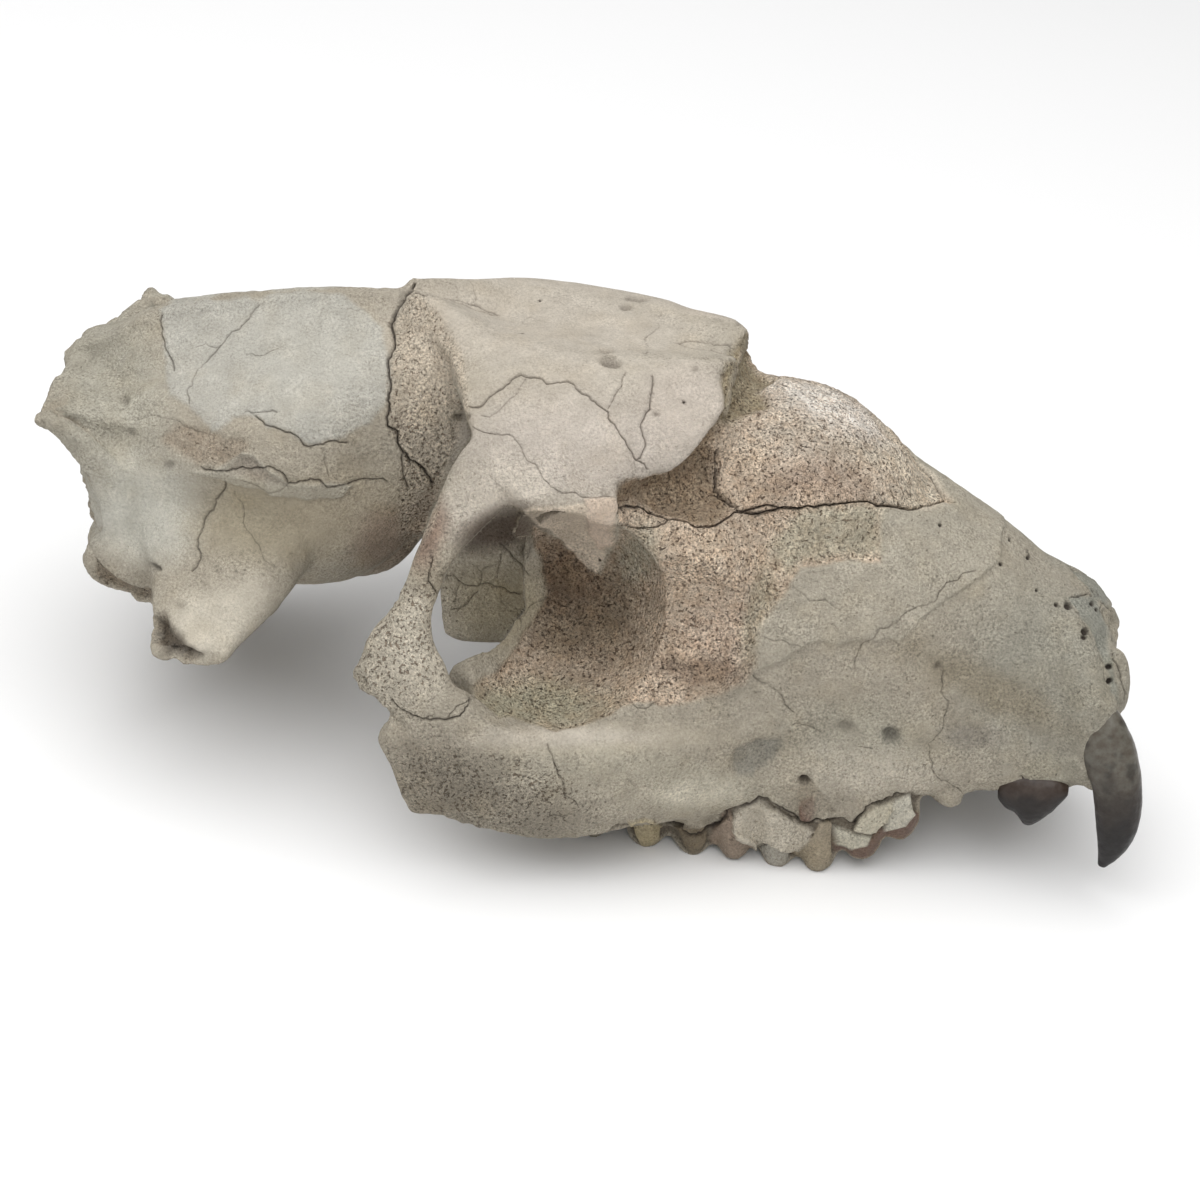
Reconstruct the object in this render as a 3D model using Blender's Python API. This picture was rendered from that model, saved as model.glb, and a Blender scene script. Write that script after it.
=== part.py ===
"""Fossil oreodont skull, without its lower jaw, lying on its cheek teeth as it would rest.

The skull is drawn in its own frame, in millimetres: x runs forward from the middle of the eye
sockets, r runs out to the animal's right from the midline, and z runs up from the biting plane.
At the end it is tipped nose up onto the floor, in metres: +X forward, -Y to its right, +Z up.
"""
import math

import bmesh
import bpy
from mathutils import Matrix, Vector

MM = 0.001

# Driving dimensions, in millimetres
GAP = 0.3                   # clear width of a thin cut between two named parts
VOXEL = 0.9                 # grain of the mesh in which the masses are fused
TRIANGLES = 2850            # triangles of the fused skull before it is parted
NOSE_UP = math.radians(7.5)  # tip of the skull when it lies on its teeth
FLOOR = 0.6                 # height in the tipped frame at which the lowest points are worn flat
ROOF_LEAN = math.radians(33)  # slope of the bone that roofs the eye socket
RIGHT, LEFT = 1, -1

FAR = 200.0                 # beyond every part of the skull
SHARP = math.radians(50)    # an edge that turns more than this is not shaded smooth

BRAINCASE_BACK = -75.0      # cut between the occiput and the braincase
BRAINCASE_FRONT = -32.5     # break between the braincase and the frontal bones
ARCH_ROOT = 33.0            # distance out at which the cheek arches leave the braincase
ARCH_TOP = 62.0             # height above which a cheek arch has no bone
SOCKET_BACK = -16.0         # cuts round the stone in the eye sockets
SOCKET_FRONT = 14.0
SOCKET_FLOOR = 24.6
CHEEK_INNER = 36.5          # cut between the sockets and the cheekbones
CHEEK_FRONT = 22.0          # cut between the cheekbones and the upper jaws
BAR_INNER = 28.0            # cuts round the bar behind each eye socket
BAR_FRONT = -2.0
BAR_FOOT = 57.5

BONE = (0.56, 0.51, 0.43)
STONE = (0.50, 0.40, 0.31)
ENAMEL = (0.10, 0.07, 0.055)


def point(x, r, z):
    """A point of the skull frame in Blender's axes, still in millimetres."""
    return Vector((x, -r, z))


def signed_power(value, power):
    return math.copysign(abs(value) ** power, value)


def new_object(name, mesh):
    item = bpy.data.objects.new(name, mesh)
    bpy.context.scene.collection.objects.link(item)
    return item


def skin(name, rings):
    """A closed solid through a row of rings that all have the same number of points."""
    body = bmesh.new()
    loops = [[body.verts.new(place) for place in ring] for ring in rings]
    count = len(loops[0])
    for near, far in zip(loops, loops[1:]):
        for k in range(count):
            after = (k + 1) % count
            body.faces.new((near[k], near[after], far[after], far[k]))
    body.faces.new(loops[0])
    body.faces.new(loops[-1])
    bmesh.ops.recalc_face_normals(body, faces=body.faces)
    mesh = bpy.data.meshes.new(name)
    body.to_mesh(mesh)
    body.free()
    return new_object(name, mesh)


def cross_sections(name, stations, low_fullness=2.6, high_fullness=2.3, steps=44):
    """A mass across the midline: stations are (x, half width, lowest, widest, highest)."""
    rings = []
    for x, width, low, wide, high in stations:
        ring = []
        for k in range(steps):
            angle = 2 * math.pi * k / steps
            across, up = math.cos(angle), math.sin(angle)
            fullness = high_fullness if up > 0 else low_fullness
            reach = high - wide if up > 0 else wide - low
            ring.append(point(x, width * signed_power(across, 2 / fullness),
                              wide + reach * signed_power(up, 2 / fullness)))
        rings.append(ring)
    return skin(name, rings)


def strap(name, stations, side=RIGHT, steps=20, fullness=2.4, lean=0.0):
    """A bar or plate along a path: stations are (x, r, z, half height, half thickness).

    The section stands upright and faces outward; lean tips its upper edge outward.
    """
    centres = [point(x, r * side, z) for x, r, z, _, _ in stations]
    outward = point(0, 1, 0)
    upright = point(0, 0, 1)
    rings = []
    for k, (_, _, _, height, thickness) in enumerate(stations):
        ahead = centres[min(k + 1, len(centres) - 1)]
        behind = centres[max(k - 1, 0)]
        along = (ahead - behind).normalized()
        thick = (outward - outward.dot(along) * along).normalized()
        tall = along.cross(thick)
        if tall.dot(upright) < 0:
            tall.negate()
        upright = tall.copy()
        tall, thick = (math.cos(lean) * tall + math.sin(lean) * side * thick,
                       math.cos(lean) * thick - math.sin(lean) * side * tall)
        ring = []
        for j in range(steps):
            angle = 2 * math.pi * j / steps
            ring.append(centres[k] + height * signed_power(math.cos(angle), 2 / fullness) * tall
                        + thickness * signed_power(math.sin(angle), 2 / fullness) * thick)
        rings.append(ring)
    return skin(name, rings)


def plate(name, outline, back, front, side=RIGHT, shrink=0.94):
    """A plate set across the skull, from an outline of (r, z), narrower at its front."""
    middle = Vector((sum(r for r, _ in outline), sum(z for _, z in outline))) / len(outline)
    rings = []
    for x, scale in ((back, shrink), (back * 0.7 + front * 0.3, 1.0), (front, shrink)):
        rings.append([point(x, side * (middle.x + (r - middle.x) * scale),
                            middle.y + (z - middle.y) * scale) for r, z in outline])
    return skin(name, rings)


def blade(name, outline, thickness, foot):
    """A plate on the midline, from an outline of (x, z), thin above and thick below its foot."""
    rings = []
    low = min(z for _, z in outline)
    for share in (-1.0, -0.6, 0.6, 1.0):
        ring = []
        for x, z in outline:
            spread = thickness + (foot - thickness) * (z == low)
            ring.append(point(x, share * spread, z))
        rings.append(ring)
    return skin(name, rings)


def lump(name, centre, radii, side=RIGHT, tilt=0.0, detail=3):
    """An egg-shaped mass; tilt turns it about the axis across the skull."""
    mesh = bpy.data.meshes.new(name)
    body = bmesh.new()
    bmesh.ops.create_icosphere(body, subdivisions=detail, radius=1.0)
    scale = Matrix.Diagonal((*radii, 1.0))
    x, r, z = centre
    place = Matrix.Translation(point(x, r * side, z)) @ Matrix.Rotation(tilt, 4, "Y") @ scale
    bmesh.ops.transform(body, matrix=place, verts=body.verts)
    body.to_mesh(mesh)
    body.free()
    return new_object(name, mesh)


def block(name, low, high):
    """A box between two corners of the skull frame, used as a cutter."""
    corners = [point(x, r, z) for x, r, z in (low, high)]
    centre = (corners[0] + corners[1]) / 2
    size = corners[1] - corners[0]
    mesh = bpy.data.meshes.new(name)
    body = bmesh.new()
    bmesh.ops.create_cube(body, size=1.0)
    scale = Matrix.Diagonal((*[abs(value) for value in size], 1.0))
    bmesh.ops.transform(body, matrix=Matrix.Translation(centre) @ scale, verts=body.verts)
    body.to_mesh(mesh)
    body.free()
    return new_object(name, mesh)


def baked(item):
    """Give an object the mesh that its modifiers make of it."""
    graph = bpy.context.evaluated_depsgraph_get()
    mesh = bpy.data.meshes.new_from_object(item.evaluated_get(graph))
    item.modifiers.clear()
    item.data = mesh
    return item


def delete(item):
    bpy.data.objects.remove(item)


def fuse(name, items):
    """Join overlapping masses into one object that still holds them as separate shells."""
    body = bmesh.new()
    for item in items:
        body.from_mesh(item.data)
        delete(item)
    mesh = bpy.data.meshes.new(name)
    body.to_mesh(mesh)
    body.free()
    return new_object(name, mesh)


def boolean(item, cutter, operation):
    change = item.modifiers.new("Boolean", "BOOLEAN")
    change.operation = operation
    change.solver = "EXACT"
    change.object = cutter
    return baked(item)


# ---- masses -------------------------------------------------------------------------------

def braincase():
    case = cross_sections("braincase", (
        (-94, 20, 48, 62, 76), (-88, 24.5, 43, 64, 80), (-78, 26.5, 40, 66, 84),
        (-66, 28, 38.5, 69, 86.5), (-55, 29, 38, 71, 88.5), (-45, 26.5, 39, 72, 89.5),
        (-37, 22.5, 43.5, 73, 91.5), (-30, 20, 50, 76, 93), (-24, 17.5, 54, 78, 93.5),
        (-17, 14, 54, 77, 92)))
    crest = blade("crest", (
        (-96, 76), (-101.5, 80.5), (-100, 83.6), (-90, 86.5), (-84, 89.8), (-80, 91.2),
        (-70, 93), (-55, 95), (-44, 96.4), (-31, 97), (-22, 95), (-14, 90), (-14, 76)),
        1.6, 6.0)
    flanks = cross_sections("flanks", (
        (-95, 18, 58, 62, 84), (-88, 23, 58, 64, 87), (-80, 25.5, 60, 66, 90.8),
        (-66, 26.5, 62, 69, 93.2), (-55, 27, 64, 71, 94.6), (-44, 25, 66, 72, 95.8),
        (-37, 21.5, 66, 73, 96.2), (-31, 19, 68, 75, 96.4), (-22, 15, 68, 76, 94.4),
        (-17, 13, 68, 76, 92)), 2.6, 1.25)
    return [case, crest, flanks]


def occiput():
    """The nuchal crest with a horn on each side, and what stands under it."""
    items = []
    for side in (RIGHT, LEFT):
        items.append(strap("nuchal_crest", (
            (-97, -2, 79, 3, 4), (-97.3, 8, 78.4, 3, 3.6), (-96.3, 16, 78, 3, 3.4),
            (-95.2, 23, 78.4, 2.8, 3), (-95.2, 28, 79.8, 1.9, 1.9), (-95.4, 30.8, 80.8, 0.9, 0.9)),
            side))
        items.append(strap("flange", (
            (-93, 28, 79.6, 2, 2), (-87.5, 27.2, 73, 3.4, 2.2), (-83.8, 25.6, 64, 4.4, 3),
            (-84, 24.5, 55, 4.4, 3.4), (-84.5, 24.5, 48, 4, 3.4)), side))
        items.append(lump("condyle", (-91.5, 10, 43.5), (7.5, 7.5, 8), side))
        items.append(lump("mastoid", (-85, 25.5, 49.5), (8, 5.5, 6.5), side))
    items.append(plate("back_of_head", (
        (-24, 78), (0, 81), (24, 78), (25, 66), (21, 46), (-21, 46), (-25, 66)), -91.5, -82))
    items.append(plate("overhang", (
        (-24, 79), (0, 81.5), (24, 79), (20, 71), (0, 66), (-20, 71)), -97, -86))
    items.append(strap("spur", (
        (-84, 22, 50, 8, 5), (-83, 22.5, 38, 7, 4.5), (-81, 22.5, 26, 5.5, 4),
        (-80, 22, 16, 4, 3.2), (-79.5, 21.5, 11, 3, 2.5)), LEFT))
    items.append(lump("stump", (-79, 24, 45), (7.5, 5, 6), RIGHT))
    return items


def skull_base():
    keel = cross_sections("keel", (
        (-92, 8, 37, 42, 50), (-80, 9, 35, 42, 55), (-60, 10, 35.5, 42, 55),
        (-40, 9, 38.5, 43, 56), (-31, 8, 47, 51, 62)))
    wall = cross_sections("pterygoid_walls", (
        (-28, 9.5, 26, 44, 66), (-24, 10.8, 25, 44, 66), (-12, 11, 25, 44, 66),
        (0, 11, 21, 40, 66)), 5)
    drums = [lump("drum", (-66, 14, 38), (8.5, 6.5, 7), side) for side in (RIGHT, LEFT)]
    return [keel, wall] + drums


def cheek_arches():
    """The roots of both arches; the right arch is broken off, the left one is whole."""
    root = (
        (-65, 19, 60, 20, 13), (-64, 27, 54.5, 16.5, 9.5), (-63.6, 34, 49.4, 12.5, 6.4),
        (-64.6, 41, 45.5, 9.5, 3.9), (-65, 47.4, 43, 7.5, 2.4))
    right_root = arch_root(root, RIGHT)
    left_root = arch_root(root[:4], LEFT)
    left_arch = strap("arch", (
        (-72, 36, 50, 5, 5), (-66, 43, 49, 7, 5), (-58, 50, 47.5, 7, 4.5), (-48, 55, 45.5, 6.5, 4),
        (-37, 57, 42, 6.5, 3.8), (-27, 56.5, 37, 7, 4), (-17, 54, 31, 8, 4)), LEFT)
    return [right_root, left_root, left_arch]


def arch_root(stations, side):
    """A shelf that runs out from the side wall: stations are (x, r, z, half length, half depth)."""
    rings = []
    for x, r, z, length, depth in stations:
        ring = []
        for k in range(24):
            angle = 2 * math.pi * k / 24
            ring.append(point(x + length * signed_power(math.cos(angle), 0.8), side * r,
                              z + depth * signed_power(math.sin(angle), 0.8)))
        rings.append(ring)
    return skin("root", rings)


def forehead(grow=0.0):
    """The frontal shield: stations are (x, half width, edge height, middle height)."""
    stations = (
        (-33, 5, 93.6, 96.6), (-26, 10.5, 93, 95.8), (-20, 18.5, 91.2, 94.2), (-14, 30, 85.5, 92.4),
        (-8, 35.5, 77.5, 91.8), (0, 37.5, 73, 91), (7, 36.5, 73, 90.2), (13, 34, 73.5, 89.6),
        (18, 28.5, 75, 89.2), (23, 25.5, 76.5, 88.8), (27, 21.5, 81, 88.2), (30.5, 16, 85, 87.8))
    steps = 12
    rings = []
    for x, width, edge, middle in stations:
        width += grow
        top, bottom = [], []
        for k in range(steps + 1):
            share = 2 * k / steps - 1
            drop = (middle - edge) * abs(share) ** 3.4
            swell = 2.2 * math.sin(math.pi * min(1.0, abs(share) * 1.15)) ** 2
            under = middle - drop - 5 - 5 * (1 - share ** 2)
            top.append(point(x, width * share, middle - drop + swell + 3 * grow))
            bottom.append(point(x, 0.93 * width * share, under - grow))
        rings.append(top + bottom[::-1])
    return skin("forehead", rings)


def sockets():
    """The stone-filled middle between the eye sockets, the bars behind them and the cheeks."""
    core = cross_sections("core", (
        (-31, 16.5, 50, 68, 91), (-24, 12.5, 45, 62, 90), (-15, 10.5, 38, 56, 88),
        (-9, 11, 26, 50, 86), (-4, 15, 18, 46, 86), (4, 21, 13, 40, 84), (12, 26, 9, 30, 82),
        (18, 28, 7, 24, 79), (22, 28, 7, 20, 77)), 3.6, 3.2)
    stone = cross_sections("stone", (
        (-8, 20, 32, 46, 60), (-6.5, 26, 29, 46, 66), (0, 33, 26, 46, 74), (9, 37.5, 24, 46, 79),
        (18, 38.5, 24, 46, 79), (26, 38, 24, 45, 77), (33, 35, 24, 43, 74), (38, 30, 24, 42, 70)))
    items = [core, stone, lump("roof_stone", (21, 0, 77), (10.5, 21, 9.5))]
    for side in (RIGHT, LEFT):
        items.append(strap("bar", (
            (-8, 29.5, 80, 6, 2.4), (-11.2, 33.6, 76, 6.2, 2.7), (-14.8, 38, 71, 4.8, 3),
            (-18.3, 41.4, 65.5, 3.5, 3.2), (-20.6, 44, 59.5, 3.2, 3.2), (-22.8, 46, 54, 4.2, 3.4),
            (-24, 48.5, 45.4, 8, 3.2), (-18.2, 50, 35.5, 6.4, 3.4)), side))
        items.append(strap("cheek", (
            (-26, 51.4, 24, 7, 2.4), (-24.6, 51.3, 24.8, 9.4, 3), (-21, 51, 26, 12, 3.6),
            (-15, 49.6, 28, 14.3, 4), (-7, 48.4, 24, 13.2, 4.6), (3, 45.4, 21.6, 12.6, 5.4),
            (12, 40.6, 22.2, 13.2, 6.4), (20, 35.4, 22, 14.5, 7), (28, 30, 21.5, 15.5, 7.6),
            (37, 24.5, 21, 15, 8)), side))
        items.append(lump("cheek_corner", (-28.8, 50, 43.7), (4.6, 2.4, 3.6), side))
        items.append(strap("floor", (
            (-14.5, 44, 38, 4, 4), (-10.5, 38, 37, 7, 10), (-5, 34, 35, 11, 13),
            (3, 31, 32, 14, 15), (14, 28, 26, 15, 16), (24, 24, 25, 15, 15)), side))
        items.append(strap("brow", (
            (-6, 30, 66, 7, 2.5), (1, 28.5, 64, 10, 3), (8, 28.5, 63, 11, 3), (15, 28, 64, 10, 3)),
            side, lean=ROOF_LEAN))
        items.append(strap("gum", (
            (-10, 27, 16, 7, 5), (-4, 27, 16, 9.5, 7), (10, 27, 16.5, 10.5, 7.3),
            (26, 26.6, 17, 11, 7.2), (42, 24.5, 17, 11, 6.8)), side))
    return items


def muzzle():
    snout = cross_sections("snout", (
        (8, 19, 9, 22, 72), (17, 25.5, 7, 20, 74), (26, 30, 6, 19, 74), (36, 32, 6, 18, 71.5),
        (46, 31, 6, 18, 68.5), (58, 27.6, 6, 18, 66.5), (66, 25, 6, 18, 62), (73, 22.5, 6, 18, 57.5),
        (80, 20.5, 6.5, 18, 53.2), (87, 19.2, 6.5, 18, 47.5), (94, 18.4, 7.2, 18, 43.8),
        (98.5, 17, 10, 20, 40.3), (102, 12, 15, 25, 34)), 4.8, 2.6)
    roots = [lump("canine_root", (97.5, 16, 22), (6, 4.2, 13), RIGHT, math.radians(-8)),
             lump("canine_root", (95, 16, 22), (5.5, 3.8, 12), LEFT, math.radians(-8)),
             lump("snout_tip", (101, 10, 29), (3.4, 4.2, 8), RIGHT),
             lump("root_stump", (72.7, 20.5, 8), (3, 2.4, 2.4), RIGHT),
             lump("root_stump", (72.7, 20.5, 8), (3, 2.4, 2.4), LEFT)]
    return [snout, snout_stone()] + roots


def snout_stone(grow=0.0, detail=3):
    """The lump of rock that fills the nose where the nasal bones are gone."""
    return lump("stone", (41, 0, 63.2), (26 + grow, 21.5 + grow, 16.5 + grow), tilt=math.radians(24),
                detail=detail)


def cheek_teeth():
    """Rows of lobed crowns: (x, outer r, half length, breadth, tip height) for each lobe."""
    items = []
    for side in (RIGHT, LEFT):
        for x, outer, half, breadth, tip in (
                (-4, 34, 5, 13.5, 0.6), (6, 34.5, 5.2, 14, -0.6), (16, 34, 4.8, 14, -2.2),
                (25, 33.5, 4.7, 13.5, -3.2), (33, 33, 4.3, 13, -3.8), (41, 32, 4.3, 12.5, -5.6),
                (48.6, 31, 4.2, 12, -6.4), (56.5, 28.5, 4.6, 9, -4), (63.5, 26, 3.8, 7, -0.6)):
            rings = []
            for z, spread in ((14, 0.95), (7, 1.03), (3, 1.05), (tip + 2, 0.84), (tip, 0.36)):
                ring = []
                centre = outer - breadth / 2 * (0.35 + 0.65 * spread)
                for k in range(12):
                    angle = 2 * math.pi * k / 12
                    ring.append(point(x + half * spread * math.cos(angle),
                                      side * (centre + breadth / 2 * spread * math.sin(angle)),
                                      z))
                rings.append(ring)
            items.append(skin("tooth", rings))
    return items


def hollows():
    """Cutters: the eye sockets, the vault of the palate and the hole for the spinal cord."""
    items = []
    for side in (RIGHT, LEFT):
        items.append(lump("socket", (3.5, 47, 54), (20.5, 27, 20.3), side))
        items.append(lump("socket_back", (-20, 27, 50), (12.5, 15.5, 17), side, detail=2))
        items.append(lump("front_hollow", (29, 51, 53), (26, 20, 22), side, math.radians(12),
                          detail=2))
    items.append(lump("palate", (42, 0, 3), (62, 18, 12), detail=2))
    items.append(lump("nares", (-12, 0, 22), (22, 7, 12), detail=2))
    items.append(lump("cord_hole", (-96, 0, 51), (12, 6.5, 5.5), detail=2))
    items.append(lump("nose", (105, 0, 25), (8, 10, 9), detail=2))
    return items


# ---- separate teeth --------------------------------------------------------------------------

def canine(name, side):
    """The right canine is whole; the left one is snapped off below its root."""
    whole = (
        (99.6, 17.4, 24, 4.4, 3.1), (101.2, 17.8, 19, 5.1, 3.5), (103.1, 18.3, 13, 4.7, 3.5),
        (103.9, 18.6, 6.5, 4.3, 3.2), (103.7, 18.6, 1, 3.5, 2.7), (102.8, 18.4, -3.4, 2.1, 1.8),
        (101.8, 18.3, -6.5, 0.7, 0.7))
    snapped = (
        (97.5, 17, 24, 3.6, 2.8), (98.3, 17.2, 18, 3.8, 3.0), (99.2, 17.5, 13, 3.9, 3.0),
        (99.6, 17.6, 10.4, 3.2, 2.4))
    return strap(name, whole if side == RIGHT else snapped, side, 14)


def first_premolar(name, side):
    """A blade with one point and long shoulders: (x, lowest, highest, half breadth)."""
    rings = []
    stations = ((81.5, 7, 10.6, 1.2), (83, 5, 12.2, 2.2), (85, 4, 13, 2.7), (86.8, 1.6, 13.2, 3),
                (88.4, 1.8, 13, 3), (90.8, 4, 12.8, 2.7), (93, 6.6, 12.2, 2), (94.6, 9, 11, 1))
    for x, low, high, half in stations:
        ring = []
        for j in range(12):
            angle = 2 * math.pi * j / 12
            ring.append(point(x, side * (18 + half * math.cos(angle)),
                              (low + high) / 2 + (high - low) / 2 * math.sin(angle)))
        rings.append(ring)
    return skin(name, rings)


# ---- parting ---------------------------------------------------------------------------------

def whole_skull():
    """The skull fused into one mass in its own frame, hollowed, thinned and worn flat below."""
    skull = fuse("skull", braincase() + occiput() + skull_base() + cheek_arches() + [forehead()]
                 + sockets() + muzzle() + cheek_teeth())
    remesh = skull.modifiers.new("Remesh", "REMESH")
    remesh.mode = "VOXEL"
    remesh.voxel_size = VOXEL
    smooth = skull.modifiers.new("Smooth", "SMOOTH")
    smooth.factor = 0.5
    smooth.iterations = 4
    baked(skull)
    thin = skull.modifiers.new("Decimate", "DECIMATE")
    thin.ratio = TRIANGLES / (2 * len(skull.data.polygons))
    baked(skull)
    floor = block("floor", (-FAR, -FAR, -FAR), (FAR, FAR, 0))
    floor.data.transform(lying_down().inverted())
    for cutter in hollows() + [floor]:
        boolean(skull, cutter, "DIFFERENCE")
        delete(cutter)
    return skull


def lying_down():
    """From the skull's frame to the way it lies, nose up, with the floor at height zero."""
    return Matrix.Translation((0, 0, -FLOOR)) @ Matrix.Rotation(-NOSE_UP, 4, "Y")


def widened(cutter):
    """A copy of a cutter that reaches one thin cut further on every side."""
    body = bmesh.new()
    body.from_mesh(cutter.data)
    bmesh.ops.triangulate(body, faces=body.faces)
    body.to_mesh(cutter.data)
    moves = [GAP * vertex.calc_shell_factor() * vertex.normal for vertex in body.verts]
    for vertex, move in zip(body.verts, moves):
        vertex.co += move
    mesh = bpy.data.meshes.new("wider")
    body.to_mesh(mesh)
    body.free()
    return new_object("wider", mesh)


def part_off(rest, name, cutter):
    """Take what a cutter holds off the rest, with a thin cut between them."""
    wider = widened(cutter)
    piece = new_object(name, rest.data.copy())
    boolean(piece, cutter, "INTERSECT")
    boolean(rest, wider, "DIFFERENCE")
    delete(cutter)
    delete(wider)
    return piece


def part_box(rest, name, low, high):
    return part_off(rest, name, block("box", low, high))


def part_skull(skull):
    """Part the fused skull into its named bones and lumps of stone, from the back forward."""
    pieces = [
        part_box(skull, "occiput", (-FAR, -FAR, -FAR), (BRAINCASE_BACK, FAR, FAR)),
        part_box(skull, "left_cheek_arch",
                 (BRAINCASE_BACK, -FAR, -FAR), (BRAINCASE_FRONT, -ARCH_ROOT, ARCH_TOP)),
        part_box(skull, "right_arch_root",
                 (BRAINCASE_BACK, ARCH_ROOT, -FAR), (BRAINCASE_FRONT, FAR, ARCH_TOP)),
        part_box(skull, "braincase",
                 (BRAINCASE_BACK, -FAR, -FAR), (BRAINCASE_FRONT, FAR, FAR)),
        part_off(skull, "frontals", forehead(1.0)),
        part_off(skull, "snout_stone", snout_stone(1.0, 2)),
        part_box(skull, "right_orbital_bar", (-FAR, BAR_INNER, BAR_FOOT), (BAR_FRONT, FAR, FAR)),
        part_box(skull, "left_orbital_bar", (-FAR, -FAR, BAR_FOOT), (BAR_FRONT, -BAR_INNER, FAR)),
        part_box(skull, "right_cheekbone", (-FAR, CHEEK_INNER, -FAR), (CHEEK_FRONT, FAR, BAR_FOOT)),
        part_box(skull, "left_cheekbone", (-FAR, -FAR, -FAR), (CHEEK_FRONT, -CHEEK_INNER, BAR_FOOT)),
        part_box(skull, "sphenoid", (-FAR, -FAR, -FAR), (SOCKET_BACK, FAR, FAR)),
        part_box(skull, "socket_stone", (SOCKET_BACK, -FAR, SOCKET_FLOOR), (SOCKET_FRONT, FAR, FAR)),
        part_box(skull, "right_upper_jaw", (-FAR, 0, -FAR), (FAR, FAR, FAR)),
        part_box(skull, "left_upper_jaw", (-FAR, -FAR, -FAR), (FAR, 0, FAR))]
    delete(skull)
    return pieces


def largest_body(item):
    """Drop the crumbs that a cut leaves, keeping the largest connected body."""
    body = bmesh.new()
    body.from_mesh(item.data)
    seen, groups = set(), []
    for start in body.verts:
        if start in seen:
            continue
        seen.add(start)
        stack, group = [start], []
        while stack:
            vertex = stack.pop()
            group.append(vertex)
            for edge in vertex.link_edges:
                other = edge.other_vert(vertex)
                if other not in seen:
                    seen.add(other)
                    stack.append(other)
        groups.append(group)
    groups.sort(key=len, reverse=True)
    for group in groups[1:]:
        bmesh.ops.delete(body, geom=group, context="VERTS")
    body.to_mesh(item.data)
    body.free()


# ---- finish ----------------------------------------------------------------------------------

def material(name, colour, roughness):
    finish = bpy.data.materials.new(name)
    finish.use_nodes = True
    shader = finish.node_tree.nodes["Principled BSDF"]
    shader.inputs["Base Color"].default_value = (*colour, 1.0)
    shader.inputs["Roughness"].default_value = roughness
    shader.inputs["Metallic"].default_value = 0.0
    finish.diffuse_color = (*colour, 1.0)
    return finish


def settle(pieces):
    """Lie the pieces down, centre their box over the origin and turn millimetres into metres."""
    for item in pieces:
        item.data.transform(lying_down())
    corners = [vertex.co for item in pieces for vertex in item.data.vertices]
    middle = [(min(c[k] for c in corners) + max(c[k] for c in corners)) / 2 for k in range(2)]
    lowest = min(c.z for c in corners)
    for item in pieces:
        item.data.transform(Matrix.Scale(MM, 4)
                            @ Matrix.Translation((-middle[0], -middle[1], -lowest)))


def finish(pieces):
    bone = material("pale fossil bone", BONE, 0.75)
    stone = material("filling of stone", STONE, 0.95)
    enamel = material("dark tooth enamel", ENAMEL, 0.25)
    for item in pieces:
        if "stone" in item.name:
            item.data.materials.append(stone)
        elif "canine" in item.name or "premolar" in item.name:
            item.data.materials.append(enamel)
        else:
            item.data.materials.append(bone)
        item.data.shade_smooth()
        item.data.set_sharp_from_angle(angle=SHARP)


def main():
    for item in list(bpy.data.objects):
        bpy.data.objects.remove(item)
    pieces = part_skull(whole_skull())
    for item in pieces:
        largest_body(item)
    for side, word in ((RIGHT, "right"), (LEFT, "left")):
        jaw = bpy.data.objects[word + "_upper_jaw"]
        for shape in (canine, first_premolar):
            tooth = shape(word + "_" + shape.__name__, side)
            socket = widened(tooth)
            boolean(jaw, socket, "DIFFERENCE")
            delete(socket)
            pieces.append(tooth)
        largest_body(jaw)
    settle(pieces)
    finish(pieces)


main()
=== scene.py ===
"""The fossil skull finished in bone, stone and enamel, on a pale floor under soft light.

The same forms as in the solid model are fused into one fine skin. It is cut with cracks, pits and
broken edges, painted, and parted again into the bones, the lumps of stone and the jaws. The
canines and first premolars are made on their own. Details are drawn on a plane seen from the show
side, which is 1200 points wide and high: (across, down). The left side takes the same drawing
mirrored. Forms are in the skull's own frame in millimetres: x forward, r to its right, z up.
"""
import math

import bmesh
import bpy
import numpy as np
from mathutils import Matrix, Vector
from mathutils.bvhtree import BVHTree


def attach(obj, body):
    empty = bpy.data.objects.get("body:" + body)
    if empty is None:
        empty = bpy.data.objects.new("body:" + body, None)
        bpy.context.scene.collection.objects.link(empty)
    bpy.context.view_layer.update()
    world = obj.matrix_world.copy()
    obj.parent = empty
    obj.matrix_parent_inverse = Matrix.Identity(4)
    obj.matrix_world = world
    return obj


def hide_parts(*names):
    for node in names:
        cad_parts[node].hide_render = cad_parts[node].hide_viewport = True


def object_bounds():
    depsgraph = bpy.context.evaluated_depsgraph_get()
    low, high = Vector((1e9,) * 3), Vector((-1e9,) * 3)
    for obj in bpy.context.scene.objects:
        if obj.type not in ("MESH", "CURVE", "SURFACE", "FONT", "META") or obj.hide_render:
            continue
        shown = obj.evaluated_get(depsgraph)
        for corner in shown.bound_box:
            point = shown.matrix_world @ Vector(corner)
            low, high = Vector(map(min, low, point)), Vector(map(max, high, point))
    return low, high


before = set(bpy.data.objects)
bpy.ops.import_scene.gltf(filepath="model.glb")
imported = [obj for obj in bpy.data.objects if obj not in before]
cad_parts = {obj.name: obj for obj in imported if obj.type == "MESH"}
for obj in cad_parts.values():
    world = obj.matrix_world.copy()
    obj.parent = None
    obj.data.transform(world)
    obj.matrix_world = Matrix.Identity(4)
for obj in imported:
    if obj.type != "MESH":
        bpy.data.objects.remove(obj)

cad_low, cad_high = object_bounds()

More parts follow.
